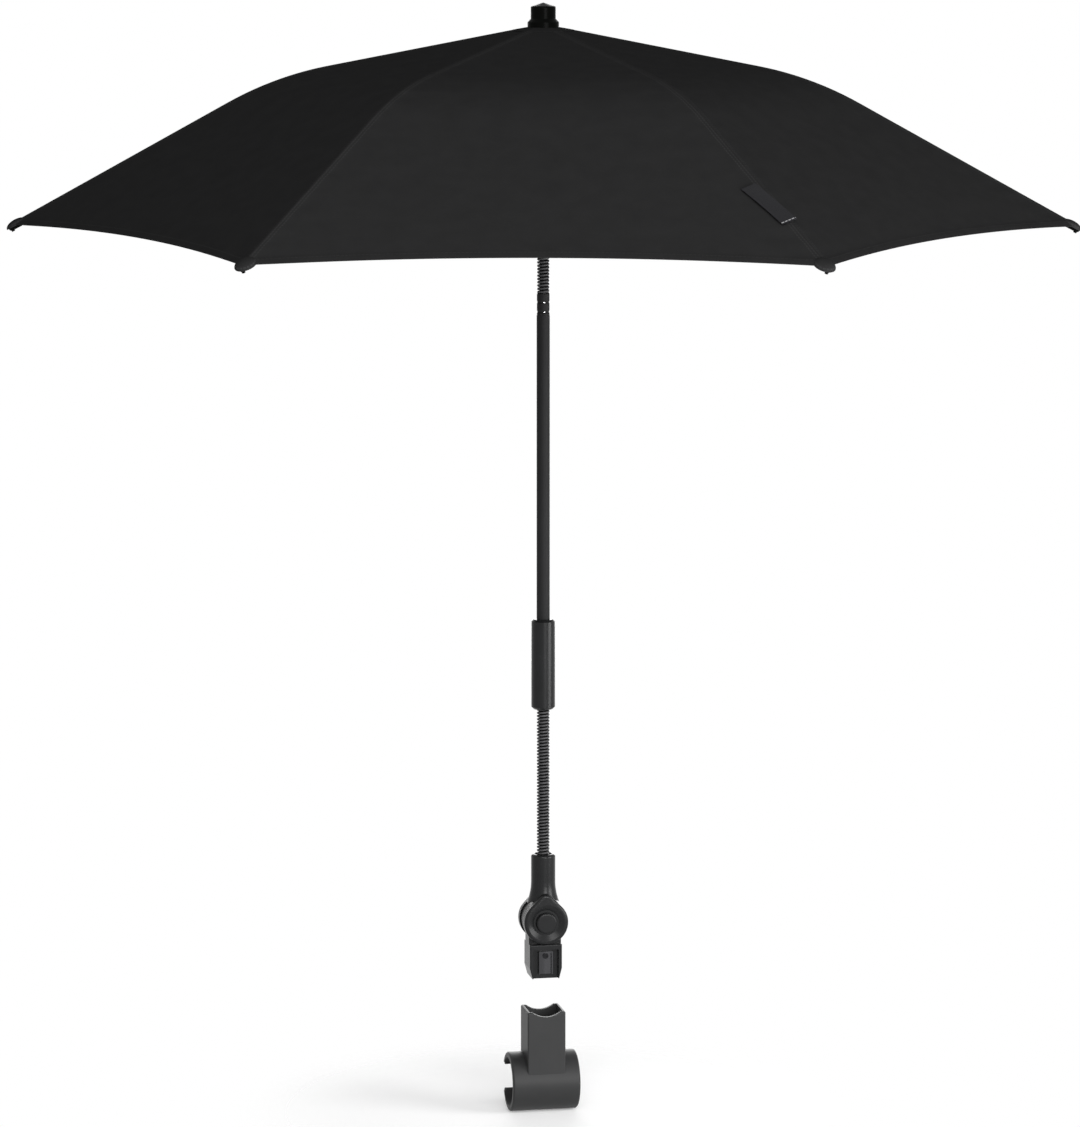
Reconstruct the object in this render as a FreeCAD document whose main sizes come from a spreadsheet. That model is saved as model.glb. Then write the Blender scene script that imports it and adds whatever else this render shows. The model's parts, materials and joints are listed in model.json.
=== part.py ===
import FreeCAD, Part
import math
import os
import re

import Sketcher
from FreeCAD import Placement, Rotation, Vector

# Pram parasol in millimetres, +Z up. The origin is the middle of the clip's bore,
# +X runs along the pram tube, and the viewer's side is -Y.

RIBS = 6
FULL_TURN = 360.0
QUARTER_TURN = 90.0

SIZES = {
    # Shared clearances
    "running_gap": 0.3,
    "fit_gap": 0.05,
    "cut_overrun": 5.0,
    # Tube clip and its socket post
    "clip_bore_radius": 17.2,
    "clip_wall": 3.6,
    "clip_length": 48.0,
    "clip_mouth": 17.0,
    "clip_round": 1.4,
    "mast_offset": -5.5,
    "post_width": 27.0,
    "post_depth": 27.0,
    "socket_floor": 4.0,
    "socket_depth": 28.2,
    "post_round": 1.2,
    "plug_travel": 51.0,
    "key_width": 6.0,
    "key_depth": 1.8,
    "key_height": 14.0,
    # Hinge base: the plug and its knuckle
    "plug_width": 22.8,
    "plug_depth": 21.6,
    "plug_tip_width": 18.9,
    "plug_taper": 7.5,
    "plug_round": 0.8,
    "recess_width": 18.0,
    "recess_depth": 3.2,
    "recess_height": 20.9,
    "hinge_rise": 40.3,
    "knuckle_radius": 14.6,
    "knuckle_half": 6.5,
    # Latch leaf
    "leaf_width": 9.8,
    "leaf_height": 16.2,
    "leaf_inset": 3.3,
    "leaf_sheet": 0.8,
    "leaf_flange": 2.6,
    "leaf_screw_drop": 3.4,
    "screw_radius": 1.1,
    "screw_head_radius": 2.0,
    "screw_head": 0.8,
    "screw_length": 6.0,
    # Hinge fork
    "disc_radius": 15.6,
    "ear_half": 13.2,
    "dish_radius": 12.9,
    "dish_floor_radius": 8.9,
    "dish_depth": 1.7,
    "flare_angle": 29.0,
    "peak_radius": 5.0,
    "peak_rise": 15.2,
    "neck_radius": 8.45,
    "neck_length": 47.0,
    "neck_round": 2.0,
    "disc_round": 2.0,
    "slot_radius": 16.8,
    # Hinge lock
    "button_radius": 7.2,
    "button_front": 14.6,
    "button_back": 11.0,
    "button_round": 1.2,
    "button_travel": 2.2,
    "stem_radius": 4.8,
    "gear_front": 8.7,
    "gear_back": 3.9,
    "gear_root_radius": 5.5,
    "gear_tip_radius": 6.3,
    "gear_tooth_root": 0.9,
    "gear_tooth_tip": 0.45,
    "gear_teeth": 24,
    "tooth_gap": 0.12,
    "spring_room": 1.2,
    "spring_pocket_radius": 3.5,
    "spring_pocket_front": 7.2,
    "spring_radius": 2.6,
    "spring_wire": 0.6,
    "spring_turns": 4,
    "axle_radius": 2.5,
    "axle_end": 1.0,
    "axle_head_radius": 5.0,
    "axle_head_front": 11.0,
    "axle_head_back": 12.9,
    # Lower gooseneck and coupling sleeve
    "ferrule_radius": 5.95,
    "neck_bore_depth": 22.4,
    "neck_coil_depth": 5.4,
    "sleeve_coil_depth": 5.0,
    "lower_coil_bare": 102.6,
    "lower_coil_radius": 3.7,
    "lower_wire": 1.6,
    "lower_turns": 48,
    "lower_core_radius": 2.5,
    "sleeve_radius": 8.25,
    "sleeve_chamfer": 1.5,
    "sleeve_socket": 23.0,
    "sleeve_web": 7.0,
    "mast_socket": 33.0,
    # Mast and tilt gooseneck
    "mast_radius": 4.55,
    "mast_wall": 0.8,
    "mast_length": 244.0,
    "spigot_length": 12.0,
    "crimp_radius": 4.35,
    "crimp_waist_radius": 3.95,
    "crimp_lower_rise": 2.6,
    "crimp_upper_rise": 9.2,
    "crimp_half": 1.1,
    "crimp_length": 15.0,
    "crimp_pin_radius": 0.55,
    "crimp_pin_length": 2.0,
    "tilt_coil_length": 77.0,
    "tilt_coil_radius": 3.55,
    "tilt_wire": 1.6,
    "tilt_turns": 33,
    "tilt_core_radius": 2.35,
    # Head: shaft, hub, washer and finial
    "shaft_plug": 8.0,
    "shaft_length": 103.0,
    "shaft_inset": 2.0,
    "hub_radius": 17.0,
    "hub_length": 12.5,
    "hub_roof": 3.3,
    "hub_slot_inner": 6.4,
    "hub_slot_width": 3.2,
    "pivot_radius": 9.5,
    "pivot_drop": 6.5,
    "wire_radius": 0.65,
    "wire_corner": 1.6,
    "wire_groove_inner": 8.5,
    "wire_groove": 1.7,
    "washer_radius": 9.2,
    "washer_height": 2.4,
    "collar_radius": 10.8,
    "collar_height": 3.6,
    "cap_radius": 8.6,
    "cap_flare": 2.4,
    "cap_side": 8.2,
    "cap_dome": 2.6,
    "cap_round": 1.3,
    "stem_depth": 14.0,
    # Canopy cloth
    "canopy_angle": -12.0,
    "cloth": 0.8,
    "cloth_hole_radius": 6.0,
    "crown_radius": 183.0,
    "crown_drop": 33.5,
    "cloth_tip_radius": 366.5,
    "cloth_tip_drop": 133.4,
    "cloth_bend_radius": 233.0,
    "scallop": 10.0,
    # Inner rib, a folded channel
    "rib_width": 5.0,
    "rib_height": 4.5,
    "rib_sheet": 0.8,
    "elbow_inset": 4.0,
    "elbow_overhang": 3.5,
    "elbow_drop": 0.5,
    "channel_start": 13.0,
    "tang_end": 24.0,
    "tang_half": 1.5,
    "tang_width": 2.6,
    "eye_radius": 2.2,
    "eye_hole": 0.72,
    "lug_place": 150.0,
    "lug_drop": 5.5,
    "lug_half": 4.0,
    "lug_top_half": 7.0,
    "rivet_radius": 0.9,
    "rivet_head_radius": 1.7,
    "rivet_head": 0.5,
    # Outer rib and its tip cap
    "rod_radius": 1.5,
    "rod_flat": 2.6,
    "rod_eye_radius": 1.6,
    "rod_eye_length": 7.0,
    "tip_reach": 0.5,
    "tip_cap_radius": 2.3,
    "tip_cap_length": 9.5,
    "tip_cap_wall": 2.4,
    "tip_nub_radius": 1.2,
    "tip_nub_drop": 3.0,
    "tip_nub_inset": 2.4,
    # Stretcher and runner
    "stretcher_height": 3.0,
    "stretcher_width": 2.6,
    "trunnion_radius": 1.1,
    "trunnion_half": 3.0,
    "runner_bore": 4.75,
    "runner_crown_radius": 15.0,
    "runner_crown_half": 4.0,
    "runner_sleeve_radius": 6.6,
    "runner_sleeve_length": 36.0,
    "runner_round": 1.0,
    "channel_width": 3.2,
    "channel_inner": 7.0,
    "cross_half_width": 3.3,
    "cross_half_depth": 1.4,
    # Label tag on the front right seam
    "label_length": 45.0,
    "label_width": 11.0,
    "label_sheet": 0.5,
    "label_inset": 82.5,
}

# Heights, stacked from the clip upwards, and distances from the mast that follow the cloth
PLACES = {
    "socket_bottom": "clip_bore_radius + clip_wall + socket_floor",
    "post_top": "socket_bottom + socket_depth",
    "plug_bottom": "socket_bottom + running_gap + plug_travel",
    "leaf_bottom": "plug_bottom + leaf_inset",
    "recess_top": "plug_bottom + recess_height",
    "hinge_height": "plug_bottom + hinge_rise",
    "neck_top": "hinge_height + neck_length",
    "neck_bore_bottom": "neck_top - neck_bore_depth",
    "lower_coil_bottom": "neck_top - neck_coil_depth",
    "sleeve_bottom": "neck_top + lower_coil_bare",
    "lower_coil_top": "sleeve_bottom + sleeve_coil_depth",
    "sleeve_web_bottom": "sleeve_bottom + sleeve_socket",
    "mast_foot": "sleeve_web_bottom + sleeve_web",
    "sleeve_top": "mast_foot + mast_socket",
    "mast_top": "mast_foot + mast_length",
    "crimp_lower_waist": "mast_top + crimp_lower_rise",
    "crimp_upper_waist": "mast_top + crimp_upper_rise",
    "crimp_top": "mast_top + crimp_length",
    "tilt_coil_top": "crimp_top + tilt_coil_length",
    "shaft_top": "tilt_coil_top + shaft_length",
    "apex_height": "shaft_top + shaft_inset",
    "washer_top": "apex_height - cloth - running_gap",
    "hub_top": "washer_top - washer_height",
    "hub_bottom": "hub_top - hub_length",
    "hub_slot_ceiling": "hub_top - hub_roof",
    "pivot_height": "hub_top - pivot_drop",
    "collar_top": "apex_height + collar_height",
    "cap_bottom": "collar_top + cap_flare",
    "cap_side_top": "cap_bottom + cap_side",
    "cap_top": "cap_side_top + cap_dome",
    "elbow_radius": "crown_radius - elbow_inset",
    "tip_radius": "cloth_tip_radius + tip_reach",
    "label_start_radius": "cloth_tip_radius - label_inset",
}

doc = FreeCAD.newDocument("pram_parasol")
sheet = doc.addObject("Spreadsheet::Sheet", "sizes")
CELLS = {name: str(value) for name, value in SIZES.items()}
CELLS.update({name: f"={text}" for name, text in PLACES.items()})
for row, name in enumerate(CELLS, start=1):
    sheet.set(f"A{row}", name)
    sheet.setAlias(f"B{row}", name)
for row, content in enumerate(CELLS.values(), start=1):
    sheet.set(f"B{row}", content)
doc.recompute()

sub_parts = []


def size(name):
    """Return the number in the sheet's cell of that name."""
    return float(sheet.get(name))


def formula(text):
    """Return text with each size's name made a reference to its cell."""
    return re.sub(r"[a-z_]+", lambda word: f"sizes.{word[0]}" if word[0] in CELLS else word[0], text)


def bind(thing, **formulas):
    """Bind properties of a document object to formulas of the sheet; x, y and z are its place."""
    for name, text in formulas.items():
        where = f".Placement.Base.{name}" if name in ("x", "y", "z") else name
        thing.setExpression(where, formula(text))
    return thing


def keep(thing):
    """List an object as one of the sub-parts that are written out."""
    sub_parts.append(thing)
    return thing


# Plain solids

AXES = {
    "x": Rotation(Vector(0, 1, 0), QUARTER_TURN),
    "y": Rotation(Vector(1, 0, 0), -QUARTER_TURN),
    "z": Rotation(),
}


def box(label, length, width, height, x="0", y="0", z="0"):
    """Return a box whose place is its lowest corner."""
    block = doc.addObject("Part::Box", label)
    return bind(block, Length=length, Width=width, Height=height, x=x, y=y, z=z)


def rod(label, radius, height, axis="z", x="0", y="0", z="0"):
    """Return a cylinder that starts at its place and runs along an axis."""
    bar = doc.addObject("Part::Cylinder", label)
    bar.Placement.Rotation = AXES[axis]
    return bind(bar, Radius=radius, Height=height, x=x, y=y, z=z)


def fuse(label, *solids):
    """Return the union of solids."""
    union = doc.addObject("Part::MultiFuse", label)
    union.Shapes = list(solids)
    union.Refine = True
    return union


def cut(label, base, *tools):
    """Return base with each tool taken away."""
    for index, tool in enumerate(tools, start=1):
        step = doc.addObject("Part::Cut", label if index == len(tools) else f"{label}_cut_{index}")
        step.Base = base
        step.Tool = tool
        step.Refine = True
        base = step
    return base


def rounded(label, base, radius, chosen):
    """Return base with a fillet on each edge that chosen accepts."""
    doc.recompute()
    smooth = doc.addObject("Part::Fillet", label)
    smooth.Base = base
    edges = enumerate(base.Shape.Edges, start=1)
    smooth.Edges = [(number, size(radius), size(radius)) for number, edge in edges if chosen(edge)]
    return smooth


# Bodies made from sketches

def new_body(label, placement=None):
    """Return an empty body at a placement, the mast's axis unless another is given."""
    body = doc.addObject("PartDesign::Body", label)
    if placement is None:
        bind(body, y="mast_offset")
    else:
        body.Placement = placement
    return body


def new_sketch(body, plane, shift="0"):
    """Return a sketch on one of the body's own planes, shifted along the plane's normal."""
    sketch = body.newObject("Sketcher::SketchObject", f"{body.Name}_outline")
    support = next(item for item in body.Origin.OriginFeatures if item.Role == plane)
    sketch.AttachmentSupport = [(support, "")]
    sketch.MapMode = "FlatFace"
    sketch.setExpression(".AttachmentOffset.Base.z", formula(shift))
    return sketch


def worth(text):
    """Return the number that a formula of the sheet gives."""
    return float(sheet.evalExpression(formula(text)))


def set_point(sketch, geometry, end, point):
    """Hold one point of a sketch at a pair of formulas."""
    for kind, text in zip(("DistanceX", "DistanceY"), point):
        value = worth(text)
        number = sketch.addConstraint(Sketcher.Constraint(kind, -1, 1, geometry, end, value))
        sketch.setExpression(f"Constraints[{number}]", formula(text))


def outline(body, plane, points, shift="0"):
    """Return a sketch of a closed outline through points, each a pair of formulas."""
    sketch = new_sketch(body, plane, shift)
    corners = [Vector(worth(x), worth(y), 0) for x, y in points]
    count = len(corners)
    for index, corner in enumerate(corners):
        sketch.addGeometry(Part.LineSegment(corner, corners[(index + 1) % count]))
    for index in range(count):
        sketch.addConstraint(Sketcher.Constraint("Coincident", index, 2, (index + 1) % count, 1))
    for index, point in enumerate(points):
        set_point(sketch, index, 1, point)
    return sketch


def circles(body, plane, *rounds):
    """Return a sketch of circles, each given by the formulas of its middle and radius."""
    sketch = new_sketch(body, plane)
    for index, (x, y, radius) in enumerate(rounds):
        middle = Vector(worth(x), worth(y), 0)
        span = worth(radius)
        sketch.addGeometry(Part.Circle(middle, Vector(0, 0, 1), span))
        set_point(sketch, index, 3, (x, y))
        number = sketch.addConstraint(Sketcher.Constraint("Radius", index, span))
        sketch.setExpression(f"Constraints[{number}]", formula(radius))
    return sketch


def feature(body, kind, sketch, length, both_sides=True, back=False):
    """Add a pad or pocket of a sketch, across its plane or to one side."""
    made = body.newObject(f"PartDesign::{kind}", f"{body.Name}_{kind.lower()}")
    made.Profile = sketch
    made.SideType = "Symmetric" if both_sides else "One side"
    made.Reversed = back
    made.setExpression("Length", formula(length))
    return made


def turned(label, points, placement=None, axis="V_Axis"):
    """Return a body turned about an axis, from points that are radius and height."""
    body = new_body(label, placement)
    sketch = outline(body, "XZ_Plane", points)
    turning = body.newObject("PartDesign::Revolution", f"{body.Name}_turning")
    turning.Profile = sketch
    turning.ReferenceAxis = (sketch, [axis])
    turning.Angle = FULL_TURN
    return body


def soften(body, radius, chosen):
    """Add a fillet to the edges of a body that chosen accepts."""
    doc.recompute()
    last = body.Tip
    names = [f"Edge{n}" for n, edge in enumerate(last.Shape.Edges, start=1) if chosen(edge)]
    fillet = body.newObject("PartDesign::Fillet", f"{body.Name}_round")
    fillet.Base = (last, names)
    fillet.setExpression("Radius", formula(radius))
    return body


def ring_at(height, radius):
    """Return a test for a whole circle at a height and radius of the piece's own axes."""
    def chosen(edge):
        if not hasattr(edge.Curve, "Radius") or len(edge.Vertexes) > 1:
            return False
        middle = edge.Curve.Center
        level = math.isclose(middle.z, size(height), abs_tol=size("fit_gap"))
        return level and math.isclose(edge.Curve.Radius, size(radius), abs_tol=size("fit_gap"))
    return chosen


# Wound wire

def biarc(start, start_way, end, end_way):
    """Return two arcs from one point and direction to another, smooth where they meet."""
    span = end - start
    ways = start_way + end_way
    squared = ways.dot(ways) - 4.0
    along = span.dot(ways)
    reach = (along - math.sqrt(along ** 2 - squared * span.dot(span))) / squared
    first = start + start_way * reach
    second = end - end_way * reach
    joint = (first + second) * 0.5
    arcs = []
    for begin, corner, finish in ((start, first, joint), (joint, second, end)):
        middle = (begin + finish) * 0.5
        half_chord = (finish - begin).Length / 2.0
        rise = (corner - middle).Length
        sag = half_chord * math.tan(math.atan2(rise, half_chord) / 2.0)
        arcs.append(Part.Arc(begin, middle + (corner - middle).normalize() * sag, finish))
    return arcs


def winding(label, radius, wire, turns, bottom, top, middle):
    """Return one unbroken wound wire between two faces, its ends square to them."""
    bend = wire
    lead = bend + wire
    low = bottom + lead
    high = top - lead
    pitch = (high - low) / turns
    slope = pitch / (2.0 * math.pi * radius)
    half_turns = int(2 * turns)

    def place(angle):
        height = low + pitch * angle / (2.0 * math.pi)
        return middle + Vector(radius * math.cos(angle), radius * math.sin(angle), height)

    def way(angle):
        return Vector(-math.sin(angle), math.cos(angle), slope).normalize()

    up = Vector(0, 0, 1)
    last = half_turns * math.pi
    foot = place(0.0) - way(0.0) * bend - up * bend
    tail = place(last) + way(last) * bend + up * bend
    edges = [Part.LineSegment(foot - up * (foot.z - bottom), foot)]
    edges += biarc(foot, up, place(0.0), way(0.0))
    for index in range(half_turns):
        begin, end = index * math.pi, (index + 1) * math.pi
        edges += biarc(place(begin), way(begin), place(end), way(end))
    edges += biarc(place(last), way(last), tail, up)
    edges.append(Part.LineSegment(tail, tail + up * (top - tail.z)))
    path = Part.Wire([edge.toShape() for edge in edges])
    section = Part.Wire([Part.Circle(edges[0].StartPoint, up, wire / 2.0).toShape()])
    sweep = Part.BRepOffsetAPI.MakePipeShell(path)
    sweep.add(section)
    sweep.build()
    sweep.makeSolid()
    tube = doc.addObject("Part::Feature", label)
    tube.Shape = sweep.shape()
    report_gap(label, path, wire)
    return keep(tube)


def report_gap(label, path, wire):
    """Print the least gap of a wound wire to itself, measured on points of its middle line."""
    spacing = wire / 4.0
    points = path.discretize(Distance=spacing)
    apart = int(3.0 * wire / spacing)
    window = int(12.0 * wire / spacing) + apart
    least = min(
        (points[one] - points[two]).Length
        for one in range(len(points))
        for two in range(one + apart, min(one + window, len(points)), 2)
    )
    print(f"{label}: least gap to itself {least - wire:.2f} mm")


# Places of the folding frame, in the plane of a rib: distance from the mast, and height

def crown_profile():
    """Return the cloth's corner points along a rib, from the collar to the tip."""
    apex = size("apex_height")
    return [
        (size("cloth_hole_radius"), apex),
        (size("collar_radius"), apex),
        (size("crown_radius"), apex - size("crown_drop")),
        (size("cloth_tip_radius"), apex - size("cloth_tip_drop")),
    ]


def falls():
    """Return the slopes of the cloth inside and outside its bend, as angles."""
    _, collar, crown, tip = crown_profile()
    inner = math.atan2(collar[1] - crown[1], crown[0] - collar[0])
    outer = math.atan2(crown[1] - tip[1], tip[0] - crown[0])
    return inner, outer


def ridge_sink(half_width, fall):
    """Return how far the cloth falls beside a ridge, half_width to the side of it."""
    return half_width * math.tan(math.pi / RIBS) * math.tan(fall)


def frame_places():
    """Return the pivots and slopes of one rib's linkage at rest."""
    inner, outer = falls()
    turn = outer - inner
    arc_sag = size("cloth_bend_radius") * (1.0 / math.cos(turn / 2.0) - 1.0)
    pivot = (size("pivot_radius"), size("pivot_height"))
    crown_height = size("apex_height") - size("crown_drop")
    clear = size("cloth") + size("running_gap")
    rib_top = crown_height - arc_sag - clear - ridge_sink(size("rib_width") / 2.0, outer)
    middle = (size("crown_radius"), rib_top - size("rib_height") / 2.0)
    rib_fall = math.atan2(pivot[1] - middle[1], middle[0] - pivot[0])
    rib_length = (size("elbow_radius") - pivot[0]) / math.cos(rib_fall)

    def on_rib(along, below):
        return (
            pivot[0] + along * math.cos(rib_fall) - below * math.sin(rib_fall),
            pivot[1] - along * math.sin(rib_fall) - below * math.cos(rib_fall),
        )

    elbow = on_rib(rib_length, size("elbow_drop"))
    lug = on_rib(size("lug_place"), size("lug_drop"))
    tip_height = size("apex_height") - size("cloth_tip_drop")
    cap_top = tip_height - clear - ridge_sink(size("tip_cap_radius"), outer)
    rod_end = (size("cloth_tip_radius"), cap_top - size("tip_cap_radius") / math.cos(outer))
    rod_fall = math.atan2(elbow[1] - rod_end[1], rod_end[0] - elbow[0])
    stretcher = math.hypot(lug[0] - pivot[0], lug[1] - pivot[1])
    stretcher_fall = math.atan2(pivot[1] - lug[1], lug[0] - pivot[0])
    runner = pivot[1] - 2.0 * stretcher * math.sin(stretcher_fall)
    return {
        "pivot": pivot,
        "rib_fall": rib_fall,
        "rib_length": rib_length,
        "elbow": elbow,
        "lug": lug,
        "rod_fall": rod_fall,
        "stretcher": stretcher,
        "stretcher_fall": stretcher_fall,
        "runner": runner,
    }


def rib_azimuth(index):
    """Return the direction of a rib about the mast, in degrees."""
    return size("canopy_angle") + FULL_TURN / RIBS * index


def about_mast(azimuth, place, fall=0.0):
    """Return the placement of a piece in a rib's plane, its X tipped down by an angle."""
    spin = Rotation(Vector(0, 0, 1), azimuth)
    tip = Rotation(Vector(0, 1, 0), math.degrees(fall))
    base = spin.multVec(Vector(place[0], 0, place[1])) + Vector(0, size("mast_offset"), 0)
    return Placement(base, spin * tip)


def facing_front(height):
    """Return a placement on the mast's axis whose Z runs to the viewer's side."""
    return Placement(Vector(0, size("mast_offset"), size(height)), Rotation(Vector(1, 0, 0), QUARTER_TURN))


# Clip

def clip_body():
    """Make the tube clip: a C ring with rounded lips and a square socket post."""
    outer = "(clip_bore_radius + clip_wall)"
    lip = "(clip_mouth / 2 + clip_wall / 2)"
    middle = "(clip_bore_radius + clip_wall / 2)"
    half = "clip_length / 2"
    span = "clip_length + 2 * cut_overrun"
    start = f"-{half} - cut_overrun"
    ring = rod("clip_ring_bar", outer, "clip_length", "x", x=f"-{half}")
    ring = rounded("clip_ring", ring, "clip_round", lambda edge: len(edge.Vertexes) == 1)
    post = box("clip_post", "post_width", "post_depth", "post_top",
               x="-post_width / 2", y="mast_offset - post_depth / 2")
    post = rounded("clip_post_round", post, "post_round",
                   lambda edge: edge.BoundBox.ZMax > size("post_top") / 2.0)
    bore = rod("clip_bore", "clip_bore_radius", span, "x", x=start)
    mouth = box("clip_gap", span, outer + " + cut_overrun", f"2 * {lip}", x=start, z=f"-{lip}")
    lips = [
        rod(f"clip_lip_{side}", "clip_wall / 2", "clip_length - clip_round", "x",
            x=f"-{half} + clip_round / 2", y=f"sqrt({middle} ^ 2 - {lip} ^ 2)", z=f"{sign}{lip}")
        for side, sign in (("upper", ""), ("lower", "-"))
    ]
    floor = "socket_bottom"
    socket = box("clip_socket", "plug_width + 2 * running_gap", "plug_depth + 2 * running_gap", "post_top",
                 x="-plug_width / 2 - running_gap", y="mast_offset - plug_depth / 2 - running_gap", z=floor)
    saddle = rod("clip_saddle", "disc_radius + running_gap", "post_depth + 2 * cut_overrun", "y",
                 y="mast_offset - post_depth / 2 - cut_overrun", z="hinge_height - plug_travel")
    key = box("clip_key", "key_width", "key_depth + fit_gap", "key_height", x="-key_width / 2",
              y="mast_offset - plug_depth / 2 - running_gap - fit_gap", z=floor)
    shell = cut("clip_shell", fuse("clip_mass", ring, post), bore, mouth, socket, saddle)
    return keep(fuse("clip_body", shell, *lips, key))


# Hinge

GEAR_SEAT = "(gear_back - button_travel - spring_room)"
BUTTON_SEAT = "(button_back - button_travel - running_gap)"

# The fork's flare: an arc that leaves the disc at an angle and ends along the neck
FLARE_OUT = "(disc_radius * cos(flare_angle * 1 deg))"
FLARE_LOW = "(disc_radius * sin(flare_angle * 1 deg))"
FLARE_CURVE = f"(({FLARE_OUT} - neck_radius) / (1 - cos(flare_angle * 1 deg)))"
FLARE_HIGH = f"({FLARE_LOW} + {FLARE_CURVE} * sin(flare_angle * 1 deg))"


def lock_teeth(label, front, back, gap):
    """Return a body with the lock's outward teeth between two distances in front of the mast."""
    body = new_body(label, facing_front("hinge_height"))
    root = new_sketch(body, "XY_Plane", back)
    radius = worth(f"gear_root_radius + {gap}")
    root.addGeometry(Part.Circle(Vector(0, 0, 0), Vector(0, 0, 1), radius))
    root.addConstraint(Sketcher.Constraint("Coincident", 0, 3, -1, 1))
    number = root.addConstraint(Sketcher.Constraint("Radius", 0, radius))
    root.setExpression(f"Constraints[{number}]", formula(f"gear_root_radius + {gap}"))
    feature(body, "Pad", root, f"{front} - ({back})", both_sides=False)
    inner = "gear_root_radius - gear_tooth_root"
    tip = f"gear_tip_radius + {gap}"
    low = f"gear_tooth_root + {gap}"
    high = f"gear_tooth_tip + {gap}"
    points = [(inner, f"-({low}) / 2"), (tip, f"-({high}) / 2"),
              (tip, f"({high}) / 2"), (inner, f"({low}) / 2")]
    tooth = feature(body, "Pad", outline(body, "XY_Plane", points, back), f"{front} - ({back})",
                    both_sides=False)
    ring = body.newObject("PartDesign::PolarPattern", f"{label}_ring")
    ring.Originals = [tooth]
    ring.Axis = (root, ["N_Axis"])
    ring.Angle = FULL_TURN
    ring.setExpression("Occurrences", formula("gear_teeth"))
    body.Tip = ring
    return body


def hinge_base():
    """Make the plug with its knuckle, latch recess, gear socket and axle hole."""
    half = "plug_width / 2"
    tip = "plug_tip_width / 2"
    shoulder = "hinge_height - disc_radius - running_gap"
    taper = "plug_bottom + plug_taper"
    points = [(f"-({tip})", "plug_bottom"), (tip, "plug_bottom"), (half, taper), (half, shoulder),
              (f"-({half})", shoulder), (f"-({half})", taper)]
    plug = new_body("base_plug")
    feature(plug, "Pad", outline(plug, "XZ_Plane", points), "plug_depth")
    soften(plug, "plug_round", lambda edge: edge.BoundBox.YLength < size("fit_gap"))
    web = box("base_web", "plug_width", "2 * knuckle_half", f"hinge_height - ({taper})", x=f"-{half}",
              y="mast_offset - knuckle_half", z=taper)
    knuckle = rod("base_knuckle", "knuckle_radius", "2 * knuckle_half", "y",
                  y="mast_offset - knuckle_half", z="hinge_height")
    recess = box("base_recess", "recess_width", "recess_depth + cut_overrun",
                 "recess_top - plug_bottom + cut_overrun", x="-recess_width / 2",
                 y="mast_offset - plug_depth / 2 - cut_overrun", z="plug_bottom - cut_overrun")
    screw = rod("base_screw_hole", "screw_radius + fit_gap", "screw_length + recess_depth", "y",
                y="mast_offset - plug_depth / 2", z="leaf_bottom + leaf_height - leaf_screw_drop")
    teeth = lock_teeth("base_teeth", "knuckle_half + cut_overrun", GEAR_SEAT, "tooth_gap")
    axle = rod("base_axle_hole", "axle_radius + fit_gap", "knuckle_half - axle_end + cut_overrun", "y",
               y="mast_offset + axle_end - fit_gap", z="hinge_height")
    return keep(cut("hinge_base", fuse("base_mass", plug, web, knuckle), recess, screw, teeth, axle))


def latch_leaf():
    """Make the spring steel latch leaf, a shallow channel in the front of the plug."""
    front = "mast_offset - plug_depth / 2 + recess_depth - leaf_flange"
    inside = "leaf_width - 2 * leaf_sheet"
    channel = box("leaf_channel", "leaf_width", "leaf_flange", "leaf_height", x="-leaf_width / 2",
                  y=front, z="leaf_bottom")
    hollow = box("leaf_hollow", inside, "leaf_flange - leaf_sheet + cut_overrun",
                 "leaf_height - leaf_sheet + cut_overrun", x=f"-({inside}) / 2", y=f"{front} - cut_overrun",
                 z="leaf_bottom - cut_overrun")
    hole = rod("leaf_hole", "screw_radius + fit_gap", "leaf_flange + 2 * cut_overrun", "y",
               y=f"{front} - cut_overrun", z="leaf_bottom + leaf_height - leaf_screw_drop")
    return keep(cut("latch_leaf", channel, hollow, hole))


def latch_screw():
    """Make the screw that holds the latch leaf."""
    seat = "mast_offset - plug_depth / 2 + recess_depth - leaf_sheet"
    height = "leaf_bottom + leaf_height - leaf_screw_drop"
    shank = rod("screw_shank", "screw_radius", "screw_length", "y", y=seat, z=height)
    head = rod("screw_head_disc", "screw_head_radius", "screw_head", "y", y=f"{seat} - screw_head", z=height)
    drive = rod("screw_drive", "screw_radius", "screw_head", "y",
                y=f"{seat} - screw_head - screw_head / 2", z=height)
    return keep(cut("latch_screw", fuse("screw_mass", shank, head), drive))


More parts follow.
